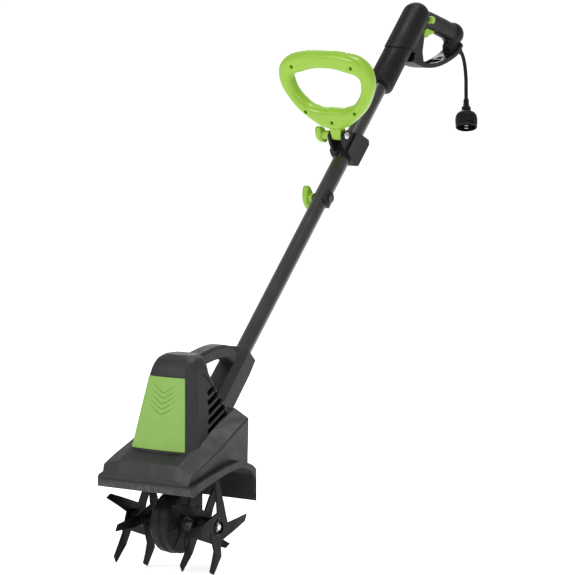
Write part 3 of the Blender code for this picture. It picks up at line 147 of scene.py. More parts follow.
def along_pole(along, out=0.0, side=0.0):
    """A point by its distance along the pole, in front of the pole's line, and to the side."""
    sine, cosine = math.sin(POLE_LEAN), math.cos(POLE_LEAN)
    return AXLE + Vector((side, along * sine - out * cosine, POLE_HEIGHT + along * cosine + out * sine))


def pole_frame(along, out=0.0, side=0.0):
    """A frame whose Z runs up the pole, X to the right and Y towards the ground behind."""
    return Matrix.Translation(along_pole(along, out, side)) @ Matrix.Rotation(-POLE_LEAN, 4, "X")


def side_frame(x=0.0, y=0.0, z=0.0, toward=1):
    """A frame at a point from the axle whose Z points along X, to the right or to the left."""
    return Matrix.Translation(AXLE + Vector((x, y, z))) @ Matrix.Rotation(toward * math.pi / 2, 4, "Y")


def across_frame():
    """A frame at the axle whose X runs along Y and Y along Z, so that thickness runs across the machine."""
    turned = Matrix(((0, 0, 1, 0), (1, 0, 0, 0), (0, 1, 0, 0), (0, 0, 0, 1)))
    return Matrix.Translation(AXLE) @ turned


def handle_frame():
    """X runs up the pole and Y out in front of it, so that thickness runs across the machine."""
    sine, cosine = math.sin(POLE_LEAN), math.cos(POLE_LEAN)
    foot = along_pole(0)
    return Matrix(((0, 0, 1, 0), (sine, -cosine, 0, foot.y), (cosine, sine, 0, foot.z), (0, 0, 0, 1)))


def loop_frame():
    """The loop's own frame at its pivot: X across, Y up along the loop, Z towards the front."""
    return Matrix.Translation(LOOP_PIVOT) @ Matrix.Rotation(math.pi / 2 + LOOP_LEAN, 4, "X")


# ---------------------------------------------------------------- making meshes
def mesh_from(work, name):
    """A mesh from the bmesh, with its normals outwards. The bmesh is freed."""
    bmesh.ops.recalc_face_normals(work, faces=work.faces)
    mesh = bpy.data.meshes.new(name)
    work.to_mesh(mesh)
    work.free()
    return mesh


def rounded(points, radius, steps=3):
    """A closed outline with every corner rounded. Each corner becomes the same number of points."""
    found = []
    count = len(points)
    points = [Vector(point) for point in points]
    for i, corner in enumerate(points):
        before, after = points[i - 1] - corner, points[(i + 1) % count] - corner
        reach = min(radius, before.length * 0.49, after.length * 0.49)
        start = corner + before.normalized() * reach
        end = corner + after.normalized() * reach
        for k in range(steps + 1):
            t = k / steps
            found.append(start * (1 - t) ** 2 + corner * 2 * t * (1 - t) + end * t**2)
    return found


def lofted(name, rings):
    """A closed body through rings that have the same number of points."""
    work = bmesh.new()
    rows = [[work.verts.new(point) for point in ring] for ring in rings]
    count = len(rows[0])
    for low, high in zip(rows, rows[1:]):
        for i in range(count):
            work.faces.new((low[i], low[(i + 1) % count], high[(i + 1) % count], high[i]))
    work.faces.new(rows[0][::-1])
    work.faces.new(rows[-1])
    return mesh_from(work, name)


def turned(name, profile, matrix, segments=64, closed=False):
    """A profile of (radius, height) points turned about the frame's Z."""
    work = bmesh.new()
    rings = []
    for radius, height in profile:
        if radius < 1e-6:
            rings.append([work.verts.new(matrix @ Vector((0, 0, height)))])
            continue
        turn = 2 * math.pi / segments
        ring = [(radius * math.cos(i * turn), radius * math.sin(i * turn), height) for i in range(segments)]
        rings.append([work.verts.new(matrix @ Vector(point)) for point in ring])
    pairs = list(zip(rings, rings[1:]))
    if closed:
        pairs.append((rings[-1], rings[0]))
    for one, other in pairs:
        for i in range(segments):
            j = (i + 1) % segments
            if len(one) == 1:
                work.faces.new((one[0], other[j], other[i]))
            elif len(other) == 1:
                work.faces.new((one[i], one[j], other[0]))
            else:
                work.faces.new((one[i], one[j], other[j], other[i]))
    return mesh_from(work, name)


def rod(name, radius, low, high, matrix, segments=64):
    """A plain cylinder along the frame's Z."""
    return turned(name, [(0, low), (radius, low), (radius, high), (0, high)], matrix, segments)


def boxed(name, low, high, matrix=None):
    """A box between two corners, in the frame given."""
    work = bmesh.new()
    bmesh.ops.create_cube(work, size=1.0)
    low, high = Vector(low), Vector(high)
    bmesh.ops.scale(work, vec=high - low, verts=work.verts)
    bmesh.ops.translate(work, vec=(low + high) / 2, verts=work.verts)
    if matrix:
        bmesh.ops.transform(work, matrix=matrix, verts=work.verts)
    return mesh_from(work, name)


def plated(name, outlines, half, matrix, edge=0.0, smooth=False, fineness=8, steps=3):
    """Flat closed outlines in XY, the first one solid and the rest holes, given a thickness along Z."""
    curve = bpy.data.curves.new(name, "CURVE")
    curve.dimensions = "2D"
    curve.fill_mode = "BOTH"
    curve.extrude = half - edge
    curve.bevel_depth = edge
    curve.bevel_resolution = steps
    curve.resolution_u = fineness
    for points in outlines:
        spline = curve.splines.new("BEZIER" if smooth else "POLY")
        if smooth:
            spline.bezier_points.add(len(points) - 1)
            for knot, point in zip(spline.bezier_points, points):
                knot.co = (point[0], point[1], 0)
                knot.handle_left_type = knot.handle_right_type = "AUTO"
        else:
            spline.points.add(len(points) - 1)
            for knot, point in zip(spline.points, points):
                knot.co = (point[0], point[1], 0, 1)
        spline.use_cyclic_u = True
    return mesh_of_curve(name, curve, matrix)


def mesh_of_curve(name, curve, matrix):
    """The curve's own surface as a closed mesh."""
    shape = bpy.data.objects.new(name, curve)
    mesh = evaluated(shape)
    bpy.data.curves.remove(curve)
    mesh.transform(matrix)
    work = bmesh.new()
    work.from_mesh(mesh)
    bmesh.ops.remove_doubles(work, verts=work.verts, dist=2e-6)
    bpy.data.meshes.remove(mesh)
    return mesh_from(work, name)


def smooth_line(points, steps):
    """Points on a smooth curve through the given ones."""
    found = []
    points = [Vector(point) for point in points]
    ends = [2 * points[0] - points[1], *points, 2 * points[-1] - points[-2]]
    for before, start, end, after in zip(ends, ends[1:], ends[2:], ends[3:]):
        for i in range(steps):
            t = i / steps
            bend = 2 * before - 5 * start + 4 * end - after
            twist = 3 * start - before - 3 * end + after
            found.append(0.5 * (2 * start + (end - before) * t + bend * t**2 + twist * t**3))
    return [*found, points[-1]]


def swept(name, line, section, up):
    """A section carried along a line. It is called with the share, and gives (aside, upwards) points."""
    rings = []
    last = len(line) - 1
    for index, point in enumerate(line):
        way = line[min(index + 1, last)] - line[max(index - 1, 0)]
        way.normalize()
        aside = way.cross(up).normalized()
        over = aside.cross(way).normalized()
        rings.append([point + aside * a + over * b for a, b in section(index / last)])
    return lofted(name, rings)


def oval(half_wide, half_high, sides):
    """An oval section."""
    turns = [2 * math.pi * i / sides for i in range(sides)]
    return [(half_wide * math.cos(turn), half_high * math.sin(turn)) for turn in turns]


def evaluated(obj):
    """The object's mesh with its modifiers applied. The object itself goes."""
    bpy.context.scene.collection.objects.link(obj)
    bpy.context.view_layer.update()
    graph = bpy.context.evaluated_depsgraph_get()
    mesh = bpy.data.meshes.new_from_object(obj.evaluated_get(graph), preserve_all_data_layers=True,
        depsgraph=graph)
    mesh.transform(obj.matrix_world)
    bpy.data.objects.remove(obj)
    return mesh


def cut(mesh, *tools, operation="DIFFERENCE"):
    """The mesh less the tools, or joined with them."""
    obj = bpy.data.objects.new(mesh.name, mesh)
    helpers = []
    for tool in tools:
        helper = bpy.data.objects.new("tool", tool)
        bpy.context.scene.collection.objects.link(helper)
        helpers.append(helper)
        step = obj.modifiers.new("cut", "BOOLEAN")
        step.operation = operation
        step.object = helper
        step.solver = "EXACT"
    found = evaluated(obj)
    for helper in helpers:
        bpy.data.objects.remove(helper)
    work = bmesh.new()
    work.from_mesh(found)
    bmesh.ops.remove_doubles(work, verts=work.verts, dist=1e-6)
    bmesh.ops.dissolve_degenerate(work, edges=work.edges, dist=1e-6)
    bpy.data.meshes.remove(found)
    return mesh_from(work, mesh.name)


def merged(name, *meshes):
    """Several meshes as one, without joining their solids."""
    work = bmesh.new()
    for mesh in meshes:
        work.from_mesh(mesh)
    mesh = bpy.data.meshes.new(name)
    work.to_mesh(mesh)
    work.free()
    return mesh


def softened(mesh, width, segments=2, angle=28.0):
    """The mesh with its edges rounded."""
    obj = bpy.data.objects.new(mesh.name, mesh)
    step = obj.modifiers.new("corners", "BEVEL")
    step.width = width
    step.segments = segments
    step.limit_method = "ANGLE"
    step.angle_limit = math.radians(angle)
    step.use_clamp_overlap = True
    step.miter_outer = "MITER_ARC"
    return evaluated(obj)


def blended(mesh, step, passes):
    """Overlapping solids melted into one moulded surface."""
    obj = bpy.data.objects.new(mesh.name, mesh)
    melt = obj.modifiers.new("melt", "REMESH")
    melt.mode = "VOXEL"
    melt.voxel_size = step
    smooth = obj.modifiers.new("smooth", "SMOOTH")
    smooth.factor = 0.5
    smooth.iterations = passes
    return evaluated(obj)


def halves(mesh, matrix):
    """The parts of a closed mesh on each side of the frame's Z plane, each one closed."""
    found = []
    reach, wide = 0.5, 0.6
    for low, high in ((FIT / 2, reach), (-reach, -FIT / 2)):
        keep = boxed("keep", (-wide, -wide, low), (wide, wide, high), matrix)
        found.append(cut(mesh.copy(), keep, operation="INTERSECT"))
    return found


def copy_of(node):
    """A CAD node's mesh with its loose triangles merged and its flat faces made whole."""
    work = bmesh.new()
    work.from_mesh(frame["nodes"][node].data)
    bmesh.ops.remove_doubles(work, verts=work.verts, dist=2e-6)
    bmesh.ops.dissolve_limit(work, angle_limit=math.radians(1.0), verts=work.verts, edges=work.edges)
    return mesh_from(work, node + "_copy")


def shown(name, mesh, finish, body, replaces=(), angle=34.0, weighted=True):
    """The piece in its named finish, at the origin, riding on its body."""
    mesh.name = name
    mesh.materials.clear()
    mesh.materials.append(FINISH[finish])
    mesh.shade_smooth()
    mesh.set_sharp_from_angle(angle=math.radians(angle))
    if weighted:
        obj = bpy.data.objects.new(name, mesh)
        even = obj.modifiers.new("even", "WEIGHTED_NORMAL")
        even.keep_sharp = True
        mesh = evaluated(obj)
        mesh.name = name
    piece = bpy.data.objects.new(name, mesh)
    bpy.context.scene.collection.objects.link(piece)
    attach(piece, body)
    if replaces:
        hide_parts(*replaces)
    return piece


def dressed(node, finish):
    """A CAD node that keeps its shape and gets the named finish."""
    materials = frame["nodes"][node].data.materials
    materials.clear()
    materials.append(FINISH[finish])


def at(x, y, z):
    """A point by its place from the middle of the tine axle."""
    return AXLE + Vector((x, y, z))


def between(rows, first):
    """The row at that first value, in a straight line between its neighbours."""
    for low, high in zip(rows, rows[1:]):
        if low[0] <= first <= high[0]:
            share = (first - low[0]) / (high[0] - low[0])
            return [a + (b - a) * share for a, b in zip(low, high)][1:]
    raise ValueError(f"no row reaches {first}")


def mirrored(points):
    """A half outline, from the middle of its top round the right side, made whole."""
    return list(points) + [(-x, y) for x, y in points[::-1] if x > 0]


def shrunk(points, amount, center):
    """Points moved towards a centre."""
    moved = []
    for point in points:
        way = Vector(center) - Vector(point)
        moved.append(tuple(Vector(point) + way.normalized() * amount))
    return moved


def band(line, thickness, steps=4):
    """The outline of a band of one thickness along a line."""
    points = smooth_line(line, steps)
    left, right = [], []
    for index, point in enumerate(points):
        way = (points[min(index + 1, len(points) - 1)] - points[max(index - 1, 0)]).normalized()
        side = Vector((-way.y, way.x)) * thickness / 2
        left.append(tuple(point + side))
        right.append(tuple(point - side))
    return left + right[::-1]


# ---------------------------------------------------------------- shared effects
def effect(name, inputs, outputs):
    """An empty shader group with its sockets, and its two end nodes."""
    tree = bpy.data.node_groups.new(name, "ShaderNodeTree")
    for label, value in inputs:
        socket = tree.interface.new_socket(label, in_out="INPUT", socket_type="NodeSocketFloat")
        socket.default_value = value
    for label in outputs:
        tree.interface.new_socket(label, in_out="OUTPUT", socket_type="NodeSocketFloat")
    return tree, tree.nodes.new("NodeGroupInput"), tree.nodes.new("NodeGroupOutput")


def put(tree, kind, feeds=(), **settings):
    """A new node with its settings and what feeds its sockets: a socket, or a value."""
    node = tree.nodes.new(kind)
    for key, value in settings.items():
        setattr(node, key, value)
    for socket, source in feeds:
        if isinstance(source, bpy.types.NodeSocket):
            tree.links.new(source, node.inputs[socket])
        else:
            node.inputs[socket].default_value = source
    return node


def math_of(tree, operation, *values):
    """The outcome of a maths node."""
    return put(tree, "ShaderNodeMath", list(enumerate(values)), operation=operation).outputs[0]


def ranged(tree, value, low, high, to_low=0.0, to_high=1.0):
    """The value taken smoothly from one range to another."""
    feeds = [("Value", value), ("From Min", low), ("From Max", high), ("To Min", to_low), ("To Max", to_high)]
    return put(tree, "ShaderNodeMapRange", feeds, interpolation_type="SMOOTHSTEP").outputs[0]


def noise(tree, place, scale, detail=3.0, roughness=0.55):
    """Soft noise of a scale per metre."""
    feeds = [("Vector", place), ("Scale", scale), ("Detail", detail), ("Roughness", roughness)]
    return put(tree, "ShaderNodeTexNoise", feeds).outputs["Fac"]


def moulded_grain():
    """The fine grain of moulded or coated surfaces, and the slow change of tone across them."""
    tree, given, out = effect("Moulded grain", [("Grain per metre", 1500.0), ("Pits", 0.5)],
        ["Height", "Tone"])
    place = put(tree, "ShaderNodeTexCoord").outputs["Object"]
    fine = noise(tree, place, given.outputs["Grain per metre"], 4.0)
    feeds = [("Vector", place), ("Scale", given.outputs["Grain per metre"])]
    cells = put(tree, "ShaderNodeTexVoronoi", feeds, feature="SMOOTH_F1").outputs["Distance"]
    pitted = math_of(tree, "MULTIPLY", cells, given.outputs["Pits"])
    tree.links.new(math_of(tree, "ADD", fine, pitted), out.inputs["Height"])
    slow = noise(tree, place, 28.0, 5.0, 0.6)
    tree.links.new(ranged(tree, slow, 0.32, 0.68), out.inputs["Tone"])
    return tree


def edge_wear_and_highlight():
    """Where edges rub pale or bare, and where a painted highlight lightens them, broken up by patches."""
    tree, given, out = effect("Edge wear", [("Start", 0.53), ("Full", 0.6), ("Patches per metre", 120.0)],
        ["Mask"])
    place = put(tree, "ShaderNodeTexCoord").outputs["Object"]
    point = tree.nodes.new("ShaderNodeNewGeometry").outputs["Pointiness"]
    edge = ranged(tree, point, given.outputs["Start"], given.outputs["Full"])
    patch = ranged(tree, noise(tree, place, given.outputs["Patches per metre"], 5.0, 0.65), 0.36, 0.62)
    tree.links.new(math_of(tree, "MULTIPLY", edge, patch), out.inputs["Mask"])
    return tree


def settled_dust_and_top_light():
    """Fine dust on faces that look up, thicker close to the ground; the pale colour it brings is partly
    painted top light.
    """
    tree, given, out = effect("Settled dust", [("Amount", 0.3), ("Reach up", 0.25)], ["Mask"])
    place = put(tree, "ShaderNodeTexCoord").outputs["Object"]
    normal = tree.nodes.new("ShaderNodeNewGeometry").outputs["Normal"]
    up = put(tree, "ShaderNodeSeparateXYZ", [(0, normal)]).outputs["Z"]
    height = put(tree, "ShaderNodeSeparateXYZ", [(0, place)]).outputs["Z"]
    facing = ranged(tree, up, 0.1, 0.95, 0.25, 1.0)
    low = ranged(tree, height, given.outputs["Reach up"], 0.0, 0.15, 1.0)
    patch = ranged(tree, noise(tree, place, 95.0, 6.0, 0.7), 0.38, 0.72)
    thick = math_of(tree, "MULTIPLY", math_of(tree, "MULTIPLY", facing, low), patch)
    tree.links.new(math_of(tree, "MULTIPLY", thick, given.outputs["Amount"]), out.inputs["Mask"])
    return tree


def brushed_lines():
    """Fine lines of a ground or drawn metal, drawn out along X."""
    tree, given, out = effect("Brushed lines", [("Lines per metre", 2600.0), ("Draw", 0.03)],
        ["Height", "Tone"])
    place = put(tree, "ShaderNodeTexCoord").outputs["Object"]
    stretch = put(tree, "ShaderNodeCombineXYZ",
        [("X", given.outputs["Draw"]), ("Y", 1.0), ("Z", 1.0)]).outputs[0]
    drawn = put(tree, "ShaderNodeVectorMath", [(0, place), (1, stretch)], operation="MULTIPLY").outputs[0]
    lines = noise(tree, drawn, given.outputs["Lines per metre"], 3.0, 0.6)
    tree.links.new(lines, out.inputs["Height"])
    tree.links.new(ranged(tree, noise(tree, place, 160.0, 4.0), 0.3, 0.7), out.inputs["Tone"])
    return tree


def parting_line():
    """A thin dark line where two moulded halves meet at the middle plane."""
    tree, given, out = effect("Parting line", [("Half width", 0.00018)], ["Mask"])
    place = put(tree, "ShaderNodeTexCoord").outputs["Object"]
    aside = math_of(tree, "ABSOLUTE", put(tree, "ShaderNodeSeparateXYZ", [(0, place)]).outputs["X"])
    wide = math_of(tree, "MULTIPLY", given.outputs["Half width"], 1.8)
    tree.links.new(ranged(tree, aside, wide, given.outputs["Half width"]), out.inputs["Mask"])
    return tree


EFFECTS = {}
FINISH = {}


def placed_effect(tree, name, **values):
    """A shared effect in a material, with its own values."""
    node = tree.nodes.new("ShaderNodeGroup")
    node.node_tree = EFFECTS[name]
    for label, value in values.items():
        node.inputs[label.replace("_", " ")].default_value = value
    return node


def mixed(tree, share, one, other):
    """Two colours mixed: each is a socket or a colour."""
    node = tree.nodes.new("ShaderNodeMix")
    node.data_type = "RGBA"
    sockets = [s for s in node.inputs if s.type == "RGBA"]
    for socket, source in zip(sockets, (one, other)):
        if isinstance(source, bpy.types.NodeSocket):
            tree.links.new(source, socket)
        else:
            socket.default_value = (*source, 1.0)
    tree.links.new(share, node.inputs[0])
    return next(s for s in node.outputs if s.type == "RGBA")


def scaled(color, amount):
    """The colour made brighter or darker."""
    return tuple(min(1.0, channel * amount) for channel in color)


def surface(name, metallic=0.0, specular=0.5, coat=0.0):
    """A new material, and its Principled shader with the values that are the same all over."""
    material = bpy.data.materials.new(name)
    material.use_nodes = True
    tree = material.node_tree
    shader = tree.nodes["Principled BSDF"]
    shader.inputs["Metallic"].default_value = metallic
    shader.inputs["Specular IOR Level"].default_value = specular
    shader.inputs["Coat Weight"].default_value = coat
    shader.inputs["Coat Roughness"].default_value = 0.18
    FINISH[name] = material
    return tree, shader


def relief(tree, shader, height, depth):
    """Fine relief of a depth in metres on the shader's normal."""
    feeds = [("Height", height), ("Distance", depth), ("Strength", 1.0)]
    tree.links.new(put(tree, "ShaderNodeBump", feeds).outputs[0], shader.inputs["Normal"])


def roughened(tree, shader, base, dust_and_top_light, amount):
    """The shader's roughness, with more of it where dust lies."""
    more = math_of(tree, "MULTIPLY", dust_and_top_light.outputs[0], amount)
    tree.links.new(math_of(tree, "ADD", base, more), shader.inputs["Roughness"])


def moulded(name, color, smooth, rough, grain=1500.0, depth=0.00008, wear_and_highlight=0.35, dust_and_top_light=0.25, seam=False,
    specular=0.32, coat=0.0, vary=0.14):
    """Moulded plastic or rubber: grain, slow tone, pale edges that are partly rubbing and partly a painted
    highlight, dust that is partly painted top light, and, on a shell, its parting line.
    """
    tree, shader = surface(name, specular=specular, coat=coat)
    skin = placed_effect(tree, "Moulded grain", Grain_per_metre=grain)
    rubbed_and_highlit = placed_effect(tree, "Edge wear", Start=0.525, Full=0.6)
    fine = placed_effect(tree, "Settled dust", Amount=dust_and_top_light)
    tone = mixed(tree, skin.outputs["Tone"], scaled(color, 1 - vary), scaled(color, 1 + vary))
    # pale edges: partly rubbing, partly a painted highlight
    pale = tuple(channel * 0.7 + 0.05 for channel in color)
    worn_and_highlit = mixed(tree, math_of(tree, "MULTIPLY", rubbed_and_highlit.outputs[0], wear_and_highlight), tone, pale)
    # pale dust on faces that look up: partly dust, partly painted top light
    dusty_and_lit = mixed(tree, fine.outputs[0], worn_and_highlit, (0.11, 0.1, 0.085))
    height = skin.outputs["Height"]
    if seam:
        line = placed_effect(tree, "Parting line")
        dusty_and_lit = mixed(tree, line.outputs[0], dusty_and_lit, scaled(color, 0.25))
        height = math_of(tree, "SUBTRACT", height, math_of(tree, "MULTIPLY", line.outputs[0], 3.0))
    tree.links.new(dusty_and_lit, shader.inputs["Base Color"])
    roughened(tree, shader, ranged(tree, skin.outputs["Tone"], 0.0, 1.0, smooth, rough), fine, 0.3)
    relief(tree, shader, height, depth)


def coated(name, color, bare, smooth, rough, wear_and_highlight=0.8, grain=900.0, depth=0.00005, start=0.53, dust_and_top_light=0.3,
    coat=0.0, specular=0.5):
    """Enamel or powder coat on steel, bared to the metal along its edges, the bright edges partly a painted
    highlight, with dust that is partly painted top light.
    """
    tree, shader = surface(name, specular=specular, coat=coat)
    skin = placed_effect(tree, "Moulded grain", Grain_per_metre=grain, Pits=0.2)
    rubbed_and_highlit = placed_effect(tree, "Edge wear", Start=start, Full=start + 0.06, Patches_per_metre=210.0)
    lines = placed_effect(tree, "Brushed lines", Lines_per_metre=900.0, Draw=0.2)
    fine = placed_effect(tree, "Settled dust", Amount=dust_and_top_light)
    share = math_of(tree, "MULTIPLY", rubbed_and_highlit.outputs[0], wear_and_highlight)
    tone = mixed(tree, skin.outputs["Tone"], scaled(color, 0.8), scaled(color, 1.2))
    metal = mixed(tree, lines.outputs["Tone"], scaled(bare, 0.7), bare)
    # bare metal at the edges: partly rubbing, partly a painted highlight
    worn_and_highlit = mixed(tree, share, tone, metal)
    # pale dust on faces that look up: partly dust, partly painted top light
    dusty_and_lit = mixed(tree, fine.outputs[0], worn_and_highlit, (0.1, 0.085, 0.07))
    tree.links.new(dusty_and_lit, shader.inputs["Base Color"])
    tree.links.new(share, shader.inputs["Metallic"])
    roughened(tree, shader, ranged(tree, skin.outputs["Tone"], 0.0, 1.0, smooth, rough), fine, 0.35)
    relief(tree, shader, skin.outputs["Height"], depth)


def metal(name, color, smooth, rough, lines=2600.0, draw=0.03, depth=0.00002):
    """Bare metal with fine lines, a slow change of tone, and edges brighter partly from rubbing and partly as
    a painted highlight.
    """
    tree, shader = surface(name, metallic=1.0)
    drawn = placed_effect(tree, "Brushed lines", Lines_per_metre=lines, Draw=draw)
    rubbed_and_highlit = placed_effect(tree, "Edge wear")
    tone = mixed(tree, drawn.outputs["Tone"], scaled(color, 0.78), color)
    # brighter edges: partly rubbing, partly a painted highlight
    bright = mixed(tree, rubbed_and_highlit.outputs[0], tone, scaled(color, 1.25))
    tree.links.new(bright, shader.inputs["Base Color"])
    tree.links.new(ranged(tree, drawn.outputs["Height"], 0.3, 0.7, smooth, rough), shader.inputs["Roughness"])
    relief(tree, shader, drawn.outputs["Height"], depth)


def make_finishes(colors):
    """Every finish of the machine."""
    for make in (moulded_grain, edge_wear_and_highlight, settled_dust_and_top_light, brushed_lines, parting_line):
        tree = make()
        EFFECTS[tree.name] = tree
    moulded("housing_plastic", colors.housing, 0.4, 0.54, wear_and_highlight=0.6, dust_and_top_light=0.3, seam=True)
    # the housing's colour darkened for the gearbox drum: painted shade under the guard
    moulded("gearbox_plastic", scaled(colors.housing, 0.3), 0.42, 0.58, wear_and_highlight=0.3, dust_and_top_light=0.12, seam=True,
        specular=0.18)
    moulded("handle_plastic", colors.grip, 0.38, 0.52, grain=1300.0, wear_and_highlight=0.3, dust_and_top_light=0.01, seam=True,
        specular=0.2)
    moulded("clamp_plastic", colors.grip, 0.36, 0.5, wear_and_highlight=0.6, dust_and_top_light=0.03, specular=0.22)
    moulded("loop_plastic", colors.accent, 0.3, 0.42, grain=1100.0, depth=0.00005, wear_and_highlight=0.2, dust_and_top_light=0.0,
        specular=0.5, coat=0.2, vary=0.03)
    moulded("knob_plastic", colors.accent, 0.3, 0.42, grain=1100.0, depth=0.00004, wear_and_highlight=0.25, dust_and_top_light=0.0,
        specular=0.5, coat=0.2, vary=0.03)
    moulded("panel_plastic", colors.panel, 0.34, 0.44, grain=1700.0, depth=0.00004, wear_and_highlight=0.15, dust_and_top_light=0.02,
        vary=0.02)
    moulded("cord_rubber", (0.004, 0.004, 0.0045), 0.42, 0.56, grain=1900.0, wear_and_highlight=0.15, dust_and_top_light=0.0,
        specular=0.14)
    moulded("plug_rubber", (0.004, 0.004, 0.0045), 0.4, 0.55, grain=1500.0, wear_and_highlight=0.25, dust_and_top_light=0.0,
        specular=0.16)
    moulded("seal_rubber", (0.014, 0.014, 0.015), 0.55, 0.7, wear_and_highlight=0.2, dust_and_top_light=0.5)
    moulded("switch_plastic", (0.09, 0.09, 0.09), 0.42, 0.55, wear_and_highlight=0.2, dust_and_top_light=0.05)
    moulded("carbon_block", (0.022, 0.022, 0.022), 0.55, 0.7, grain=2400.0, depth=0.0001, wear_and_highlight=0.3, dust_and_top_light=0.0)
    coated("tine_enamel", colors.tines, (0.46, 0.45, 0.44), 0.3, 0.46, wear_and_highlight=0.7, start=0.545, dust_and_top_light=0.04,
        specular=0.13)
    coated("hub_enamel", scaled(colors.tines, 0.9), (0.42, 0.41, 0.4), 0.34, 0.5, wear_and_highlight=0.6, start=0.545,
        dust_and_top_light=0.04, specular=0.13)
    coated("pole_coat", colors.pole, (0.4, 0.4, 0.4), 0.2, 0.3, wear_and_highlight=0.5, grain=700.0, depth=0.00002,
        dust_and_top_light=0.03, coat=0.6)
    coated("black_oxide", (0.045, 0.045, 0.047), (0.5, 0.5, 0.5), 0.3, 0.46, wear_and_highlight=0.8, dust_and_top_light=0.05)
    metal("ground_steel", (0.62, 0.62, 0.63), 0.2, 0.36)
    metal("plated_blade", (0.72, 0.66, 0.5), 0.16, 0.3, draw=0.3)
    metal("laminated_core", (0.26, 0.26, 0.27), 0.4, 0.6, lines=1400.0, draw=0.5)
    metal("machined_bronze", (0.58, 0.4, 0.18), 0.22, 0.4)
    metal("lacquered_copper", (0.72, 0.33, 0.16), 0.2, 0.36, lines=1800.0, draw=0.1)


# ---------------------------------------------------------------- what repeats
def repeat_tree(name, inputs):
    """A geometry tree with its sockets, ready for its nodes."""
    tree = bpy.data.node_groups.new(name, "GeometryNodeTree")
    tree.interface.new_socket("Geometry", in_out="INPUT", socket_type="NodeSocketGeometry")
    for label, kind in [*inputs, ("Finish", "NodeSocketMaterial")]:
        tree.interface.new_socket(label, in_out="INPUT", socket_type=kind)
    tree.interface.new_socket("Geometry", in_out="OUTPUT", socket_type="NodeSocketGeometry")
    return tree, tree.nodes.new("NodeGroupInput")


def finish_tree(tree, given, instances):
    """Real geometry with the finish, to the tree's output."""
    real = put(tree, "GeometryNodeRealizeInstances", [("Geometry", instances)])
    done = put(tree, "GeometryNodeSetMaterial",
        [("Geometry", real.outputs[0]), ("Material", given.outputs["Finish"])])
    tree.links.new(done.outputs[0], tree.nodes.new("NodeGroupOutput").inputs[0])
    return tree


def row_tree():
    """The given piece in a row, each one a little larger or smaller than the one before."""
    kinds = [("Count", "NodeSocketInt"), ("Step", "NodeSocketVector"), ("Growth", "NodeSocketVector")]
    tree, given = repeat_tree("Repeat in a row", kinds)
    line = put(tree, "GeometryNodeMeshLine",
        [("Count", given.outputs["Count"]), ("Offset", given.outputs["Step"])])
    index = tree.nodes.new("GeometryNodeInputIndex").outputs[0]
    grown = put(tree, "ShaderNodeVectorMath", [(0, given.outputs["Growth"])], operation="SCALE")
    tree.links.new(index, grown.inputs["Scale"])
    size = put(tree, "ShaderNodeVectorMath", [(0, grown.outputs[0]), (1, (1, 1, 1))], operation="ADD")
    feeds = [("Points", line.outputs[0]), ("Instance", given.outputs["Geometry"]), ("Scale", size.outputs[0])]
    return finish_tree(tree, given, put(tree, "GeometryNodeInstanceOnPoints", feeds).outputs[0])


def round_tree():
    """The given piece repeated round the Z axis at an even angle."""
    kinds = [("Count", "NodeSocketInt"), ("Angle", "NodeSocketFloat"), ("First", "NodeSocketFloat")]
    tree, given = repeat_tree("Repeat round an axis", kinds)
    line = put(tree, "GeometryNodeMeshLine", [("Count", given.outputs["Count"]), ("Offset", (0, 0, 0))])
    index = tree.nodes.new("GeometryNodeInputIndex").outputs[0]
    feeds = [(0, index), (1, given.outputs["Angle"]), (2, given.outputs["First"])]
    angle = put(tree, "ShaderNodeMath", feeds, operation="MULTIPLY_ADD").outputs[0]
    turn = put(tree, "ShaderNodeCombineXYZ", [("Z", angle)]).outputs[0]
    feeds = [("Points", line.outputs[0]), ("Instance", given.outputs["Geometry"]), ("Rotation", turn)]
    return finish_tree(tree, given, put(tree, "GeometryNodeInstanceOnPoints", feeds).outputs[0])


def points_tree():
    """An element set at every point of the given mesh, such as a screw at each of its holes."""
    tree, given = repeat_tree("Set at points", [("Element", "NodeSocketObject")])
    element = put(tree, "GeometryNodeObjectInfo", [("Object", given.outputs["Element"])])
    feeds = [("Points", given.outputs["Geometry"]), ("Instance", element.outputs["Geometry"])]
    return finish_tree(tree, given, put(tree, "GeometryNodeInstanceOnPoints", feeds).outputs[0])


TREES = {}


def repeated(name, mesh, tree, matrix=None, finish=None, **settings):
    """The mesh put through one of the repeating trees in its named finish, as a plain mesh in its place."""
    if not TREES:
        TREES.update(row=row_tree(), round=round_tree(), points=points_tree())
    settings["Finish"] = FINISH[finish]
    obj = bpy.data.objects.new(name, mesh)
    step = obj.modifiers.new("repeat", "NODES")
    step.node_group = TREES[tree]
    for item in TREES[tree].interface.items_tree:
        if item.item_type == "SOCKET" and item.in_out == "INPUT" and item.name in settings:
            step[item.identifier] = settings[item.name]
    found = evaluated(obj)
    if matrix:
        found.transform(matrix)
    found.name = name
    return joined_up(found)


def joined_up(mesh):
    """The mesh with its normals set outwards."""
    work = bmesh.new()
    work.from_mesh(mesh)
    return mesh_from(work, mesh.name)


# ---------------------------------------------------------------- housing
# rows: height, front, its half width, where the side starts, its half width, back, its half width
TOWER = [
    (0.105, -0.05, 0.056, -0.029, 0.066, 0.106, 0.05),
    (0.122, -0.0462, 0.052, -0.0255, 0.0622, 0.099, 0.048),
    (0.18, -0.0338, 0.0436, -0.015, 0.054, 0.076, 0.042),
    (0.235, -0.022, 0.0352, -0.006, 0.0448, 0.042, 0.034),
    (0.25, -0.016, 0.0325, -0.002, 0.0415, 0.0395, 0.032),
    (0.261, -0.007, 0.0275, 0.003, 0.036, 0.037, 0.0285),
    (0.268, 0.004, 0.018, 0.009, 0.025, 0.033, 0.02),
]
TOWER_BOW = 0.003  # how far the front bows out in the middle
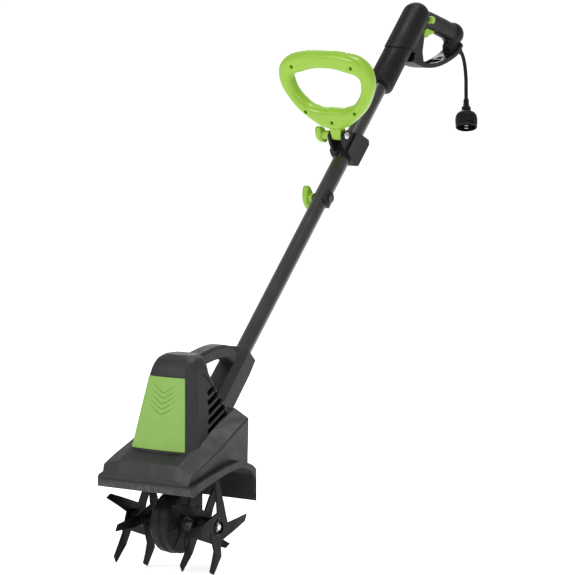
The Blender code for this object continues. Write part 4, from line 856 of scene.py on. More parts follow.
# rows: Y, then heights of the middle, shoulder and outer edge, half width there, and the rim's top height
GUARD = [
    (-0.0835, 0.085, 0.0845, 0.078, 0.084, 0.074),
    (-0.0735, 0.106, 0.105, 0.096, 0.088, 0.08),
    (-0.046, 0.1205, 0.12, 0.107, 0.089, 0.087),
    (0.0, 0.141, 0.14, 0.125, 0.087, 0.096),
    (0.042, 0.162, 0.16, 0.145, 0.085, 0.101),
    (0.084, 0.179, 0.177, 0.163, 0.082, 0.088),
]
GUARD_HALF = 0.0955
SHOULDER = 0.056
WALL = 0.003
SOCKET = [0.112, 0.15, 0.23, 0.257]
TUBE_RADII = (0.0132, 0.0142)
ROUNDS_OVER = 0.235  # above this height the tower rounds over
BOLT_END = -0.035  # how far a clamping bolt reaches past the pole's line
BOLT_ROOM = 0.0353  # how far its blind hole in the knob reaches


def tower_ring(row, inset=0.0, radius=0.003):
    """The tower's outline at one row, moved in by the inset."""
    height, front, front_half, side_start, side_half, back, back_half = row
    front, back = front + inset, back - inset
    front_half, back_half, side_half = front_half - 0.6 * inset, back_half - 0.6 * inset, side_half - inset
    side_end = max(side_start + 0.004, back - 0.014)
    right = [(0.0, front - TOWER_BOW), (front_half * 0.5, front - TOWER_BOW * 0.78), (front_half, front)]
    right += [(side_half, side_start), (side_half, side_end), (back_half, back), (0.0, back + 0.002)]
    ring = right + [(-x, y) for x, y in right[-2:0:-1]]
    return [at(point.x, point.y, height) for point in rounded(ring, radius, 3)]


def tower_rows(low, high, step=0.0145):
    """The tower's rows from one height to another, on smooth lines where the top rounds over."""
    fine = [tuple(row) for row in TOWER[:3]] + [tuple(row) for row in smooth_line(TOWER[3:], 5)]
    heights = [low]
    while heights[-1] + step < ROUNDS_OVER:
        heights.append(heights[-1] + step)
    heights += [row[0] for row in fine if ROUNDS_OVER <= row[0] < high - 0.0004] + [high]
    return [(height, *between(fine, height)) for height in heights]


def guard_ring(row, inset=0.0, drop=0.0):
    """The guard's arch at one row, moved in by the inset and down at its feet by the drop."""
    y, middle, shoulder, edge, half, rim = row
    right = [(0.0, middle - inset), (SHOULDER - inset / 2, shoulder - inset), (half - inset, edge - inset)]
    right += [(half - 0.002 - inset, rim - 0.0044 - drop)]
    ring = right + [(-x, z) for x, z in right[:0:-1]]
    return [at(point.x, y, point.y) for point in rounded(ring, 0.0022, 2)]


def rim_mesh(side, half, plan, radius):
    """The guard's flared lip: its side outline across the machine, kept inside a rounded plan."""
    bar = plated("guard_rim", [rounded(side, 0.0024, 3)], half, across_frame())
    front, rear = plan
    around = [(-half, front), (half, front), (half, rear), (-half, rear)]
    post = plated("plan", [rounded(around, radius, 6)], 0.3, Matrix.Translation(AXLE))
    return cut(bar, post, operation="INTERSECT")


def guard_mesh():
    """The guard's roof and lip, hollow below."""
    roof = softened(lofted("guard", [guard_ring(row) for row in GUARD]), 0.0012, 2, 14)
    top = [(row[0], row[5]) for row in GUARD[:5]]
    top[0] = (-0.086, 0.074)
    top += [(0.058, 0.097), (0.076, 0.09), (0.089, 0.08), (0.093, 0.072), (0.093, 0.03)]
    under = [(0.087, 0.03), (0.086, 0.066), (0.074, 0.08), (0.056, 0.087), (0.04, 0.09)]
    under += [(0.02, 0.088), (0.0, 0.085), (-0.046, 0.074), (-0.0735, 0.066), (-0.083, 0.06)]
    rim = softened(rim_mesh(top + under, GUARD_HALF, (-0.0865, 0.0932), 0.012), 0.0013, 3, 30)
    rows = [list(row) for row in GUARD]
    rows[0][0], rows[1][0] = -0.079, -0.07
    rows[-1][0] -= WALL
    well = lofted("well", [guard_ring(row, WALL, 0.08) for row in rows])
    side = [(-0.0815, 0.069), (-0.0735, 0.076), (-0.046, 0.083), (0.0, 0.0925), (0.042, 0.0975)]
    side += [(0.058, 0.0935), (0.074, 0.087), (0.0865, 0.0775), (0.09, 0.071), (0.09, -0.02),
        (-0.0815, -0.02)]
    rim_well = rim_mesh(side, GUARD_HALF - WALL, (-0.0835, 0.0902), 0.01)
    return cut(cut(roof, rim, operation="UNION"), well, rim_well)


def socket_mesh():
    """The eight-sided sleeve that holds the pole's foot."""
    half, corner = 0.0235, 0.0095
    short = half - corner
    ring = [(half, short), (short, half), (-short, half), (-half, short)]
    ring += [(-half, -short), (-short, -half), (short, -half), (half, -short)]
    rings = []
    for along, grow in zip(SOCKET, (1.0, 1.06, 1.02, 0.94)):
        place = pole_frame(along)
        rings.append([place @ Vector((p.x * grow, p.y * grow, 0)) for p in rounded(ring, 0.002, 3)])
    return softened(lofted("socket", rings), 0.0012, 2, 40)


def bridge_mesh():
    """The carrying bridge from the tower's top to the socket."""
    points = [(0.025, 0.249), (0.056, 0.2545), (0.09, 0.26), (0.118, 0.26), (0.14, 0.252), (0.16, 0.23)]
    line = smooth_line([at(0, *point) for point in points], 6)
    wide, high, corner = 0.015, 0.0112, 0.004
    ring = [(wide, high - corner), (wide - corner, high), (corner - wide, high), (-wide, high - corner)]
    ring += [(x, -y) for x, y in ring[::-1]]
    section = [(p.x, p.y) for p in rounded(ring, 0.0016, 3)]
    return swept("bridge", line, lambda share: section, Vector((0, 0, 1)))


def side_recess(toward):
    """The shallow field round each side's vents."""
    rings = []
    for height in (0.13, 0.134, 0.15, 0.17, 0.19, 0.21, 0.228, 0.236, 0.24):
        _, _, start, half, back, _ = between(TOWER, height)
        pull = 0.0 if 0.134 <= height <= 0.228 else (0.004 if height in (0.13, 0.236) else 0.01)
        front, rear = start + 0.0055 + pull, back - 0.0185 - pull
        inner = half - 0.0014
        corners = ((inner, front), (0.09, front), (0.09, rear), (inner, rear))
        rings.append([at(toward * x, y, height) for x, y in corners])
    return lofted("recess", rings)


def vent_slots(count):
    """The slanted slots of both side vents, longer towards the bottom."""
    outline = rounded([(0, -0.0042), (0.06, -0.0042), (0.06, 0.0042), (0, 0.0042)], 0.0028, 4)
    slot = plated("slot", [outline], 0.09, IN_PLACE)
    pitch = 0.0148 * 5 / count
    slope = math.radians(24.0)
    lean = pitch * 0.2
    up = Vector((pitch * math.sin(slope) + lean * math.cos(slope),
        pitch * math.cos(slope) - lean * math.sin(slope), 0))
    place = across_frame() @ moved(0.0075, 0.147, 0) @ Matrix.Rotation(slope, 4, "Z")
    growth = (-0.104 * 5 / count, 0, 0)
    return repeated("slots", slot, "row", place, Count=count, Step=up, Growth=growth,
        finish="housing_plastic")


def make_housing(sizes):
    """The guard, tower, socket and bridge as one moulding."""
    tower = lofted("tower", [tower_ring(row) for row in tower_rows(0.112, 0.268)])
    tower = softened(tower, sizes.corner * 0.6, 2, 24)
    tower = cut(tower, side_recess(1), side_recess(-1), vent_slots(sizes.vent_count))
    shell = cut(guard_mesh(), tower, socket_mesh(), bridge_mesh(), operation="UNION")
    chamber = lofted("chamber", [tower_ring(row, WALL, 0.002) for row in tower_rows(0.115, 0.2645)])
    bore = rod("bore", 0.0135, 0.1677, 0.28, pole_frame(0))
    lead = rod("lead", 0.005, 0.08, 0.178, pole_frame(0, 0.0075), 20)
    neck = boxed("neck", (-0.0175, 0.0135, 0.05), (0.0175, 0.0485, 0.122), Matrix.Translation(AXLE))
    hole = rod("hole", 0.0016, 0, 0.02, Matrix.Translation(at(-0.07, -0.084, 0.08))
        @ Matrix.Rotation(math.pi / 2, 4, "X"), 16)
    shell = cut(shell, chamber, bore, lead, neck, hole)
    shown("housing_shell", shell, "housing_plastic", "machine", ["housing_left", "housing_right"],
        17)
    trim_housing()


def trim_housing():
    """The collar at the socket's mouth."""
    profile = [(0.0152, 0.2572), (0.0178, 0.2572), (0.0184, 0.2578), (0.0184, 0.259), (0.0176, 0.2598),
        (0.015, 0.2598)]
    profile += [(0.0138, 0.2592), (0.0138, 0.2578)]
    collar = turned("socket_collar", profile, pole_frame(0), 64, closed=True)
    shown("socket_collar", collar, "clamp_plastic", "machine")


def make_front_panel(sizes):
    """The coloured panel, bowed with the tower's front, and its engraved chevrons."""
    rings = []
    shares = [-1 + i / 6 for i in range(13)]
    heights = [0.1225, 0.1233] + [0.132 + 0.0103 * i for i in range(10)] + [0.2342, 0.235]
    for height in heights:
        front, half = between(TOWER, height)[:2]
        half -= 0.0008 if 0.123 < height < 0.2345 else 0.0014
        thick = 0.0022 if 0.123 < height < 0.2345 else 0.0016
        back, face = front - FIT, front - FIT - thick
        ring = []
        for share in shares:
            near = 0.0006 * max(0.0, abs(share) - 0.97) / 0.03
            ring.append(at(share * half, face - TOWER_BOW * (1 - share**2) + near, height))
        ring += [at(share * half, back - TOWER_BOW * (1 - share**2), height) for share in shares[::-1]]
        rings.append(ring)
    panel = lofted("front_panel", rings)
    line = [(-0.031, 0.0175), (-0.016, 0.008), (-0.0045, 0.0012), (0, 0), (0.0045, 0.0012), (0.016, 0.008),
        (0.031, 0.0175)]
    mark = plated("mark", [band(line, 0.0011)], 0.0016, IN_PLACE)
    low, high = (at(0, between(TOWER, height)[0] - 0.0058, height) for height in (0.178, 0.222))
    count = sizes.chevron_count
    lean = math.atan2(high.y - low.y, high.z - low.z)
    place = Matrix.Translation(low) @ Matrix.Rotation(math.pi / 2 - lean, 4, "X")
    step = Vector((0, (high - low).length * 0.19 * 5 / count, 0))
    marks = repeated("chevrons", mark, "row", place, Count=count, Step=step, Growth=(-0.06, -0.05, 0),
        finish="panel_plastic")
    panel = cut(panel, marks)
    shown("front_panel_face", panel, "panel_plastic", "machine", ["front_panel"], 30)


# ---------------------------------------------------------------- tines and gearbox
def make_tines(sizes):
    """The pressed tine plates, their hubs and the bolts at the axle's ends."""
    for side in ("left", "right"):
        for plate in ("a", "b"):
            node = f"tine_plate_{side}_{plate}"
            mesh = softened(copy_of(node), sizes.tine_corner, 2, 40)
            shown(f"tine_star_{side}_{plate}", mesh, "tine_enamel", "tine_rotor", [node], 40)
        node = f"tine_hub_{side}"
        hub = softened(copy_of(node), 0.0005, 2, 40)
        shown(f"tine_boss_{side}", hub, "hub_enamel", "tine_rotor", [node], 40)
        make_axle_bolt(side, 1 if side == "right" else -1)


def make_axle_bolt(side, toward):
    """A hexagonal bolt head on its washer, sunk in the hub's end."""
    node = f"axle_bolt_{side}"
    low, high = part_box(node)
    outer = max(abs(low.x), abs(high.x)) - abs(AXLE.x)
    inner = min(abs(low.x), abs(high.x)) - abs(AXLE.x)
    place = side_frame(toward=toward)
    flat = 0.0047
    reach = flat / math.cos(math.pi / 6)
    corners = [(reach * math.cos(a), reach * math.sin(a))
        for a in (math.radians(60 * i + 30) for i in range(6))]
    head = plated("head", [corners], 0.0016, place @ moved(0, 0, outer - 0.0016))
    head = softened(head, 0.0004, 2, 30)
    base = outer - 0.0032
    washer = turned("washer", [(0, base - 0.0012), (0.0074, base - 0.0012), (0.0078, base - 0.0008),
        (0.0078, base - 0.0002), (0.0074, base + 0.0002), (0, base + 0.0002)], place, 48)
    shank = rod("shank", 0.0028, inner, base, place, 24)
    shown(f"hex_bolt_{side}", merged("bolt", head, washer, shank), "ground_steel", "tine_rotor", [node],
        30)


def make_gearbox(sizes):
    """The gearbox drum, its neck, and the stiffening ribs round both faces."""
    halves_found = [softened(copy_of(f"gearbox_{side}"), 0.0007, 2, 40) for side in ("left", "right")]
    shown("gearbox_shell", merged("gearbox", *halves_found), "gearbox_plastic", "machine",
        ["gearbox_left", "gearbox_right"], 40)
    rib = softened(boxed("rib", (0.0185, -0.0012, -0.0001), (0.044, 0.0012, 0.0012)), 0.0005, 2, 30)
    for side, toward in (("right", 1), ("left", -1)):
        place = side_frame(toward=toward) @ moved(0, 0, 0.0175)
        ribs = repeated("ribs", rib.copy(), "round", place, Count=9, Angle=math.radians(40), First=0.0,
            finish="gearbox_plastic")
        profile = [(0.015, -0.0001), (0.015, 0.001), (0.0155, 0.0015), (0.018, 0.0015), (0.0186, 0.001),
            (0.0186, -0.0001)]
        boss = turned("boss", profile, place, 64, closed=True)
        shown(f"gearbox_ribs_{side}", merged("ribs", ribs, boss), "gearbox_plastic", "machine",
            angle=40)
    for side, toward in (("right", 1), ("left", -1)):
        band_profile = [(0.0489, 0.0006), (0.0496, 0.0006), (0.05, 0.001), (0.05, 0.0024), (0.0496, 0.0028),
            (0.0489, 0.0028)]
        ring = turned("flange", band_profile, side_frame(toward=toward), 96, closed=True)
        shown(f"gearbox_flange_{side}", ring, "gearbox_plastic", "machine", angle=40)


# ---------------------------------------------------------------- pole
def make_pole(sizes):
    """The two tubes of the pole, with turned-in ends."""
    lower, upper = TUBE_RADII
    for name, node, outer, inner, start, end in (
        ("pole_lower", "lower_tube", lower, lower - 0.001, 0.168, 0.639),
        ("pole_upper", "upper_tube", upper, lower + FIT, 0.579, 0.96),
    ):
        edge = 0.0005
        profile = [(inner, start), (outer - edge, start), (outer - 0.0001, start + edge * 0.4),
            (outer, start + edge)]
        profile += [(outer, start + (end - start) * share) for share in (0.25, 0.5, 0.75)]
        profile += [(outer, end - edge), (outer - edge, end), (inner, end)]
        profile += [(inner, start + (end - start) * share) for share in (0.75, 0.5, 0.25)]
        shown(name, turned(name, profile, pole_frame(0), 72, closed=True), "pole_coat", "machine", [node],
            40)


def bolt_mesh(seat, end, place):
    """A domed bolt head with a six-sided key hole, and its shank."""
    head, rise = 0.0066, 0.0034
    dome = [(head * math.sin(math.radians(a)), seat + rise * math.cos(math.radians(a)) ** 0.8)
        for a in (24, 36, 48, 60, 70, 78, 84)]
    profile = [(0, seat + rise), *dome, (head, seat + 0.0003), (head - 0.0003, seat), (0.003, seat),
        (0.003, end + 0.0006), (0.0024, end), (0, end)]
    bolt = turned("bolt", profile, place, 48)
    corners = [(0.0023 * math.cos(math.radians(60 * i)), 0.0023 * math.sin(math.radians(60 * i)))
        for i in range(6)]
    key = plated("key", [corners], 0.002, place @ moved(0, 0, seat + rise))
    return cut(bolt, key)


def knob_mesh(name, length, stem, depth, place):
    """A winged knob of a lens outline with well rounded edges, a raised middle, and its bolt's blind hole."""
    half_long, half_wide, thick = length / 2, 0.0215 / 2, 0.012
    right = [(half_long * math.cos(a), half_wide * (0.62 * math.sin(a) + 0.38 * math.sin(a) ** 3))
        for a in (math.radians(9 * i) for i in range(40))]
    edge = 0.0038
    inner = [(x * (1 - edge / half_long), y * (1 - edge / half_wide)) for x, y in right]
    wings = plated(name, [inner], thick / 2, place @ moved(0, 0, stem + thick / 2), edge, steps=5)
    low = turned("stem", [(0, 0), (0.0078, 0), (0.008, 0.0003), (0.008, stem - 0.001),
        (0.0088, stem + 0.0012), (0.0088, stem + 0.003), (0, stem + 0.003)], place, 48)
    groove = turned("groove", [(0.0098, stem + thick - 0.0007), (0.0106, stem + thick - 0.0007),
        (0.0106, stem + thick + 0.002), (0.0098, stem + thick + 0.002)], place, 48, closed=True)
    hole = rod("hole", 0.0033, -0.001, depth, place, 32)
    return cut(cut(wings, low, operation="UNION"), groove, hole)


def make_tube_bolt(sizes):
    """The bolt, saddle and knob that join the pole's tubes."""
    place = pole_frame(0.591)
    saddle = softened(copy_of("tube_saddle"), 0.0006, 2, 40)
    shown("tube_bolt_saddle", saddle, "clamp_plastic", "machine", ["tube_saddle"], 40)
    across = place @ ACROSS
    saddle_wall = 0.0042
    bolt = bolt_mesh(TUBE_RADII[1] + FIT + saddle_wall + FIT, BOLT_END, across)
    shown("tube_bolt_steel", bolt, "black_oxide", "machine", ["tube_bolt"], 34)
    turn = place @ TO_LEFT @ spun(-60, "Z")
    seat = 0.0154
    knob = knob_mesh("tube_knob_face", 0.043, 0.006, BOLT_ROOM - seat, turn @ moved(0, 0, seat))
    shown("tube_knob_face", knob, "knob_plastic", "tube_knob", ["tube_knob"], 38)


# ---------------------------------------------------------------- loop handle
LOOP_RISE = 0.0265
LOOP_OUTER = [(0.0, 0.1265), (0.046, 0.122), (0.0815, 0.107), (0.092, 0.084), (0.08, 0.042), (0.047, 0.005)]
LOOP_OUTER += [(0.015, -0.012)]
LOOP_INNER = [(0.0, 0.097), (0.038, 0.0935), (0.064, 0.085), (0.069, 0.07), (0.048, 0.033), (0.027, 0.024)]
LOOP_INNER += [(0.0, 0.024)]
LOOP_SCREWS = [(-0.059, 0.101), (0.059, 0.101), (-0.049, 0.019), (0.049, 0.019), (0.0, 0.001)]


def make_loop_handle(sizes):
    """The tilting loop in two moulded halves, its screws in their wells."""
    place = loop_frame()
    edge = min(0.0105, sizes.loop_radius - 0.0037)
    middle = (0.0, 0.06)
    outer = shrunk(mirrored(LOOP_OUTER), edge, middle)
    inner = shrunk(mirrored(LOOP_INNER), -edge, middle)
    ring = plated("loop", [outer, inner], 0.0135, place @ moved(0, LOOP_RISE, 0), edge, True, 14, 7)
    tongue = boxed("tongue", (-0.01, 0, -0.0085), (0.01, LOOP_RISE + 0.006, 0.0085), place)
    toe = rod("toe", 0.0085, -0.01, 0.01, place @ ACROSS, 48)
    loop = blended(cut(ring, tongue, toe, operation="UNION"), sizes.moulding_step * 0.75, 5)
    wells = bpy.data.meshes.new("wells")
    wells.from_pydata([(x, LOOP_RISE + y, 0) for x, y in LOOP_SCREWS], [], [])
    well = turned("well", [(0, -0.0095), (0.0017, -0.0095), (0.0017, 0.0048), (0.0031, 0.005),
        (0.0031, 0.0125), (0.0045, 0.015), (0, 0.015)], IN_PLACE, 32)
    tools = set_at("wells", wells.copy(), well, place, "loop_plastic")
    way = rod("way", 0.0033, -0.03, 0.03, place @ ACROSS, 32)
    loop = cut(loop, tools, way)
    front, rear = halves(loop, place)
    shown("loop_front_half", front, "loop_plastic", "loop_handle", ["loop_handle_front"],
        40, False)
    shown("loop_rear_half", rear, "loop_plastic", "loop_handle", ["loop_handle_rear"], 40,
        False)
    top = 0.0075
    profile = [(0, top - 0.0002), (0.002, top), (0.0024, top - 0.0003), (0.0026, top - 0.0008),
        (0.0026, top - 0.002)]
    profile += [(0.0014, top - 0.0022), (0.0014, -0.008), (0.0006, -0.0085), (0, -0.0085)]
    screw = turned("screw", profile, IN_PLACE, 32)
    cross = [boxed("cross", (-0.0016, -0.0003, top - 0.0009), (0.0016, 0.0003, top + 0.001)),
        boxed("cross", (-0.0003, -0.0016, top - 0.0009), (0.0003, 0.0016, top + 0.001))]
    screw = cut(screw, *cross)
    screws = set_at("loop_screws", wells, screw, place, "black_oxide")
    shown("loop_screws", screws, "black_oxide", "loop_handle", [f"loop_screw_{i}" for i in range(1, 6)],
        34)


def set_at(name, guide, element, matrix, finish):
    """The element set at each point of the guide, as a plain mesh."""
    helper = bpy.data.objects.new("element", element)
    bpy.context.scene.collection.objects.link(helper)
    found = repeated(name, guide, "points", matrix, finish, Element=helper)
    bpy.data.objects.remove(helper)
    return found


def make_loop_clamp(sizes):
    """The clamp that joins the loop to the pole, with its bolt and knob."""
    clamp = softened(copy_of("loop_clamp"), 0.0009, 3, 34)
    shown("loop_clamp_block", clamp, "clamp_plastic", "machine", ["loop_clamp"], 36)
    half_foot, play, ear = 0.01, 0.0004, 0.005
    seat = half_foot + play + ear + FIT
    across = loop_frame() @ ACROSS
    shown("loop_bolt_steel", bolt_mesh(seat, BOLT_END, across), "ground_steel", "machine", ["loop_bolt"],
        34)
    turn = loop_frame() @ TO_LEFT @ spun(69, "Z")
    knob = knob_mesh("loop_knob_face", 0.0345, 0.0135, BOLT_ROOM - seat, turn @ moved(0, 0, seat))
    shown("loop_knob_face", knob, "knob_plastic", "loop_knob", ["loop_knob"], 38)


# ---------------------------------------------------------------- main handle
GRIP_PATH = [(1.012, -0.005), (1.03, -0.033), (1.047, -0.063), (1.063, -0.093), (1.069, -0.109)]
STRAP_LINE = [(1.066, -0.131), (1.045, -0.13), (1.018, -0.118), (0.988, -0.099), (0.964, -0.077)]
STRAP_LINE += [(0.946, -0.052), (0.934, -0.026), (0.928, -0.006)]
TRIGGER_ROOM = [(1.0, -0.03), (1.0, -0.05), (1.017, -0.057), (1.025, -0.064), (1.038, -0.062)]
TRIGGER_ROOM += [(1.038, -0.048), (1.029, -0.034), (1.016, -0.032)]
TRIGGER = [(1.0105, -0.0345), (1.0015, -0.037), (1.002, -0.0465), (1.011, -0.05), (1.027, -0.06)]
TRIGGER += [(1.034, -0.059), (1.034, -0.052), (1.023, -0.042), (1.016, -0.0365)]
BOOT_START = (0.0, 0.852, 0.7315)
# the cord's route from the axle, from the strain relief to the plug
CORD_ROUTE = [
    (0.0, 0.869, 0.711),
    (0.0, 0.8758, 0.701),
    (0.0, 0.881, 0.688),
    (0.0, 0.8842, 0.673),
    (0.0, 0.8858, 0.66),
    (0.0, 0.886, 0.652),
    (0.0004, 0.8854, 0.6433),
    (0.0017, 0.8835, 0.6349),
    (0.0037, 0.8804, 0.627),
]


def cord_exit_frame():
    out = (Vector(CORD_ROUTE[1]) - Vector(CORD_ROUTE[0])).normalized()
    return Matrix.Translation(at(*BOOT_START)) @ out.to_track_quat("Z", "X").to_matrix().to_4x4()


def make_main_handle(sizes):
    """The D-shaped handle: its body, grip and strap flow together, and its sleeve steps in below."""
    place = handle_frame()
    top, radius = 1.034, 0.0242
    dome = [(radius * math.sin(math.radians(a)), top - radius * (1 - math.cos(math.radians(a))))
        for a in range(0, 91, 9)]
    body = turned("handle", [*dome, (radius, 0.9), (0, 0.9)], pole_frame(0), 64)
    path = smooth_line([along_pole(*p) for p in GRIP_PATH], 6)
    round_grip = oval(sizes.grip_radius, sizes.grip_radius, 40)
    grip = swept("grip", path, lambda share: round_grip, Vector((1, 0, 0)))
    strap = plated("strap", [band(STRAP_LINE, 0.008)], 0.0165, place)
    work = bmesh.new()
    bmesh.ops.create_uvsphere(work, u_segments=40, v_segments=24, radius=0.0205)
    bmesh.ops.translate(work, verts=work.verts, vec=along_pole(1.072, -0.112))
    knuckle = mesh_from(work, "knuckle")
    heel_path = smooth_line([along_pole(*p)
        for p in ((1.072, -0.112), (1.064, -0.119), (1.05, -0.122), (1.038, -0.1205))], 5)
    heel = swept("heel", heel_path, lambda share: oval(0.018 - 0.002 * share, 0.0165 - 0.0085 * share, 32),
        Vector((1, 0, 0)))
    web = plated("web", [[(0.918, -0.01), (0.995, -0.018), (0.99, -0.032), (0.968, -0.046), (0.956, -0.065),
        (0.942, -0.052)]], 0.0135, place)
    solid = blended(merged("handle", body, grip, strap, knuckle, heel, web), sizes.moulding_step * 0.8, 7)
    # the body's lower edge slants back, and the sleeve steps in below it
    foot = plated("foot",
        [[(0.8, 0.06), (0.906, 0.06), (0.912, 0.03), (0.934, 0.0), (0.95, -0.03), (0.93, -0.03),
        (0.8, -0.03)]], 0.05, place)
    sleeve_profile = [(0, 0.846), (0.0212, 0.846), (0.0218, 0.8464), (0.0222, 0.8475), (0.023, 0.85),
        (0.0226, 0.925), (0.0222, 0.97), (0, 0.97)]
    sleeve = turned("sleeve", sleeve_profile, pole_frame(0), 72)
    solid = cut(cut(solid, foot), sleeve, operation="UNION")
    tools = handle_cutters(place)
    solid = cut(solid, *tools)
    right, left = halves(solid, side_frame(0, 0.8, 0.75))
    shown("handle_right_half", right, "handle_plastic", "machine", ["handle_right"], 40,
        False)
    shown("handle_left_half", left, "handle_plastic", "machine", ["handle_left"], 40, False)
    make_trigger(place)
    make_strap_ribs()


def handle_cutters(place):
    """The rooms and ways inside the handle, the hook's slot and the strap's channel."""
    switch = boxed("switch_room", (1.0132, -0.0333, -0.0078), (1.0303, -0.0057, 0.0078), place)
    room = plated("trigger_room", [TRIGGER_ROOM], 0.0066, place)
    lock = rod("lock_way", 0.0065, 0, 0.05, place @ moved(1.018, -0.018, 0), 40)
    pin = rod("pin", 0.0018, -0.0108, 0.0108, place @ moved(1.03, -0.056, 0), 20)
    bore = rod("bore", 0.0145, 0.8, 0.9603, pole_frame(0))
    lead = rod("lead", 0.0095, 0.958, 1.008, pole_frame(0, 0.004), 32)
    boot = rod("boot", 0.0058, -0.012, 0.02, cord_exit_frame(), 32)
    hook = boxed("hook", (1.008, -0.135, -0.006), (1.02, -0.095, 0.006), place)
    channel = plated("channel",
        [band([(1.0046, -0.1057), (0.9866, -0.0947), (0.9666, -0.0757), (0.9546, -0.0582)], 0.005)], 0.0118,
        place)
    return switch, room, lock, pin, bore, lead, boot, softened(hook, 0.0015, 3, 30), channel


def make_strap_ribs():
    """Grip lines across the underside of the handle's grip."""
    rib = turned("rib", [(0.0158, -0.0005), (0.0162, 0.0), (0.0158, 0.0005), (0.0152, 0.0)], IN_PLACE, 48,
        closed=True)
    start, end = along_pole(1.0475, -0.064), along_pole(1.059, -0.086)
    way = (end - start).normalized()
    matrix = Matrix.Translation(start) @ way.to_track_quat("Z", "X").to_matrix().to_4x4()
    count = 5
    step = Vector((0, 0, (end - start).length / (count - 1)))
    ribs = repeated("grip_lines", rib, "row", matrix, Count=count, Step=step, Growth=(0, 0, 0),
        finish="handle_plastic")
    shown("grip_lines", ribs, "handle_plastic", "machine", angle=50)


def make_trigger(place):
    """The trigger and the lock button."""
    edge = 0.0012
    inner = shrunk(TRIGGER, edge * 0.8, (1.016, -0.047))
    trigger = plated("trigger_lever", [rounded(inner, 0.002, 4)], 0.006, place, edge, steps=4)
    pin = rod("pin", 0.0018, -0.02, 0.02, place @ moved(1.03, -0.056, 0), 24)
    shown("trigger_lever", cut(trigger, pin), "knob_plastic", "trigger", ["trigger"], 34)
    radius, top = 0.0062, 0.0262
    profile = [(0, top - 0.0004), (0.003, top - 0.0003), (0.0034, top - 0.0007), (0.0038, top - 0.0007),
        (0.0042, top - 0.0001)]
    profile += [(0.005, top - 0.0003), (0.0057, top - 0.0009), (0.0061, top - 0.0016),
        (radius, top - 0.0024), (radius, 0.0118), (0, 0.0118)]
    button = turned("lock_cap", profile, place @ moved(1.018, -0.018, 0), 48)
    shown("lock_cap", button, "knob_plastic", "lock_button", ["lock_button"], 40)


# ---------------------------------------------------------------- cord
def make_cord(sizes):
    """The strain relief, the short cord and its inlet plug."""
    place = cord_exit_frame()
    length = (Vector(CORD_ROUTE[0]) - Vector(BOOT_START)).length - FIT
    count = sizes.rib_count
    sleeve = [(0, length), (0.0036, length), (0.0042, length - 0.0006), (0.0052, 0.006), (0.0054, -0.0096),
        (0.005, -0.01), (0, -0.01)]
    core = turned("relief_core", sleeve, place, 48)
    ring = turned("ring", [(0.0038, -0.0006), (0.0052, -0.0006), (0.0054, 0), (0.0052, 0.0006),
        (0.0038, 0.0006)], IN_PLACE, 48, closed=True)
    step = Vector((0, 0, (length - 0.008) / count))
    shift = place @ moved(0, 0, 0.0062)
    growth = (-0.18 / count, -0.18 / count, 0)
    rings = repeated("relief_rings", ring, "row", shift, Count=count, Step=step, Growth=growth,
        finish="cord_rubber")
    shown("cord_boot", merged("cord_boot", core, rings), "cord_rubber", "machine", ["strain_relief"],
        40)
    route = smooth_line([at(*point) for point in CORD_ROUTE], 4)
    section = oval(0.0033, 0.0033, 28)
    cord = swept("power_lead", route, lambda share: section, Vector((1, 0, 0)))
    lead = shown("power_lead", cord, "cord_rubber", "machine", ["power_cord"], 40)
    plug, blades = make_plug(route)


def make_plug(route):
    """The inlet plug: a ribbed boot, a round body with finger ribs, and two blades in its recess."""
    end = route[-1]
    coarse = smooth_line([at(*point) for point in CORD_ROUTE], 2)
    down = (coarse[-1] - coarse[-2]).normalized()
    place = Matrix.Translation(end + down * FIT) @ down.to_track_quat("Z", "X").to_matrix().to_4x4()
    radius, top, low = 0.0192, 0.025, 0.054
    floor = low - 0.011
    profile = [(0, floor), (radius - 0.003, floor), (radius - 0.0022, floor + 0.0008),
        (radius - 0.0022, low - 0.0006)]
    profile += [(radius - 0.0016, low), (radius - 0.0006, low), (radius, low - 0.0006), (radius, low - 0.004)]
    profile += [(radius - 0.0007, low - 0.0044), (radius - 0.0007, low - 0.0052), (radius, low - 0.0056),
        (radius, top + 0.0092)]
    profile += [(radius * 0.97, top + 0.0066), (radius * 0.87, top + 0.0034), (radius * 0.74, top + 0.0011),
        (radius * 0.62, top)]
    profile += [(0.0088, 0.025), (0.008, 0.015), (0.0056, 0.013), (0.0053, 0.009), (0.0046, 0.0086),
        (0.0046, 0.0074)]
    profile += [(0.0052, 0.007), (0.0051, 0.0044), (0.0044, 0.004), (0.0044, 0.0028), (0.005, 0.0024),
        (0.005, 0.0005), (0.0045, 0.0), (0, 0.0)]
    body = turned("plug_body_face", profile, place, 72)
    slots, blades = [], []
    for index, side in enumerate((-0.5, 0.5)):
        x = side * 0.0127
        slots.append(boxed("slot", (x - 0.00105, -0.0035, floor - 0.008),
            (x + 0.00105, 0.0035, floor + 0.001), place))
        blade = boxed("blade", (x - 0.00075, -0.0032, floor - 0.0077), (x + 0.00075, 0.0032, low - 0.001),
            place)
        hole = rod("hole", 0.0015, -0.01, 0.01, place @ moved(x, 0, low - 0.0042) @ ACROSS, 20)
        blade = softened(cut(blade, hole), 0.0003, 2, 40)
        name = f"plug_pin_{index + 1}"
        blades.append(shown(name, blade, "plated_blade", "machine", [f"plug_blade_{index + 1}"],
            34))
    body = cut(body, *slots)
    rib = softened(boxed("rib", (radius - 0.001, -0.0007, top + 0.011),
        (radius + 0.0005, 0.0007, low - 0.0075)), 0.0004, 2, 40)
    ribs = repeated("finger_ribs", rib, "round", place, Count=24, Angle=math.radians(15), First=0.0,
        finish="plug_rubber")
    plug = shown("plug_shell", merged("plug", body, ribs), "plug_rubber", "machine", ["plug_body"],
        34)
    return plug, blades


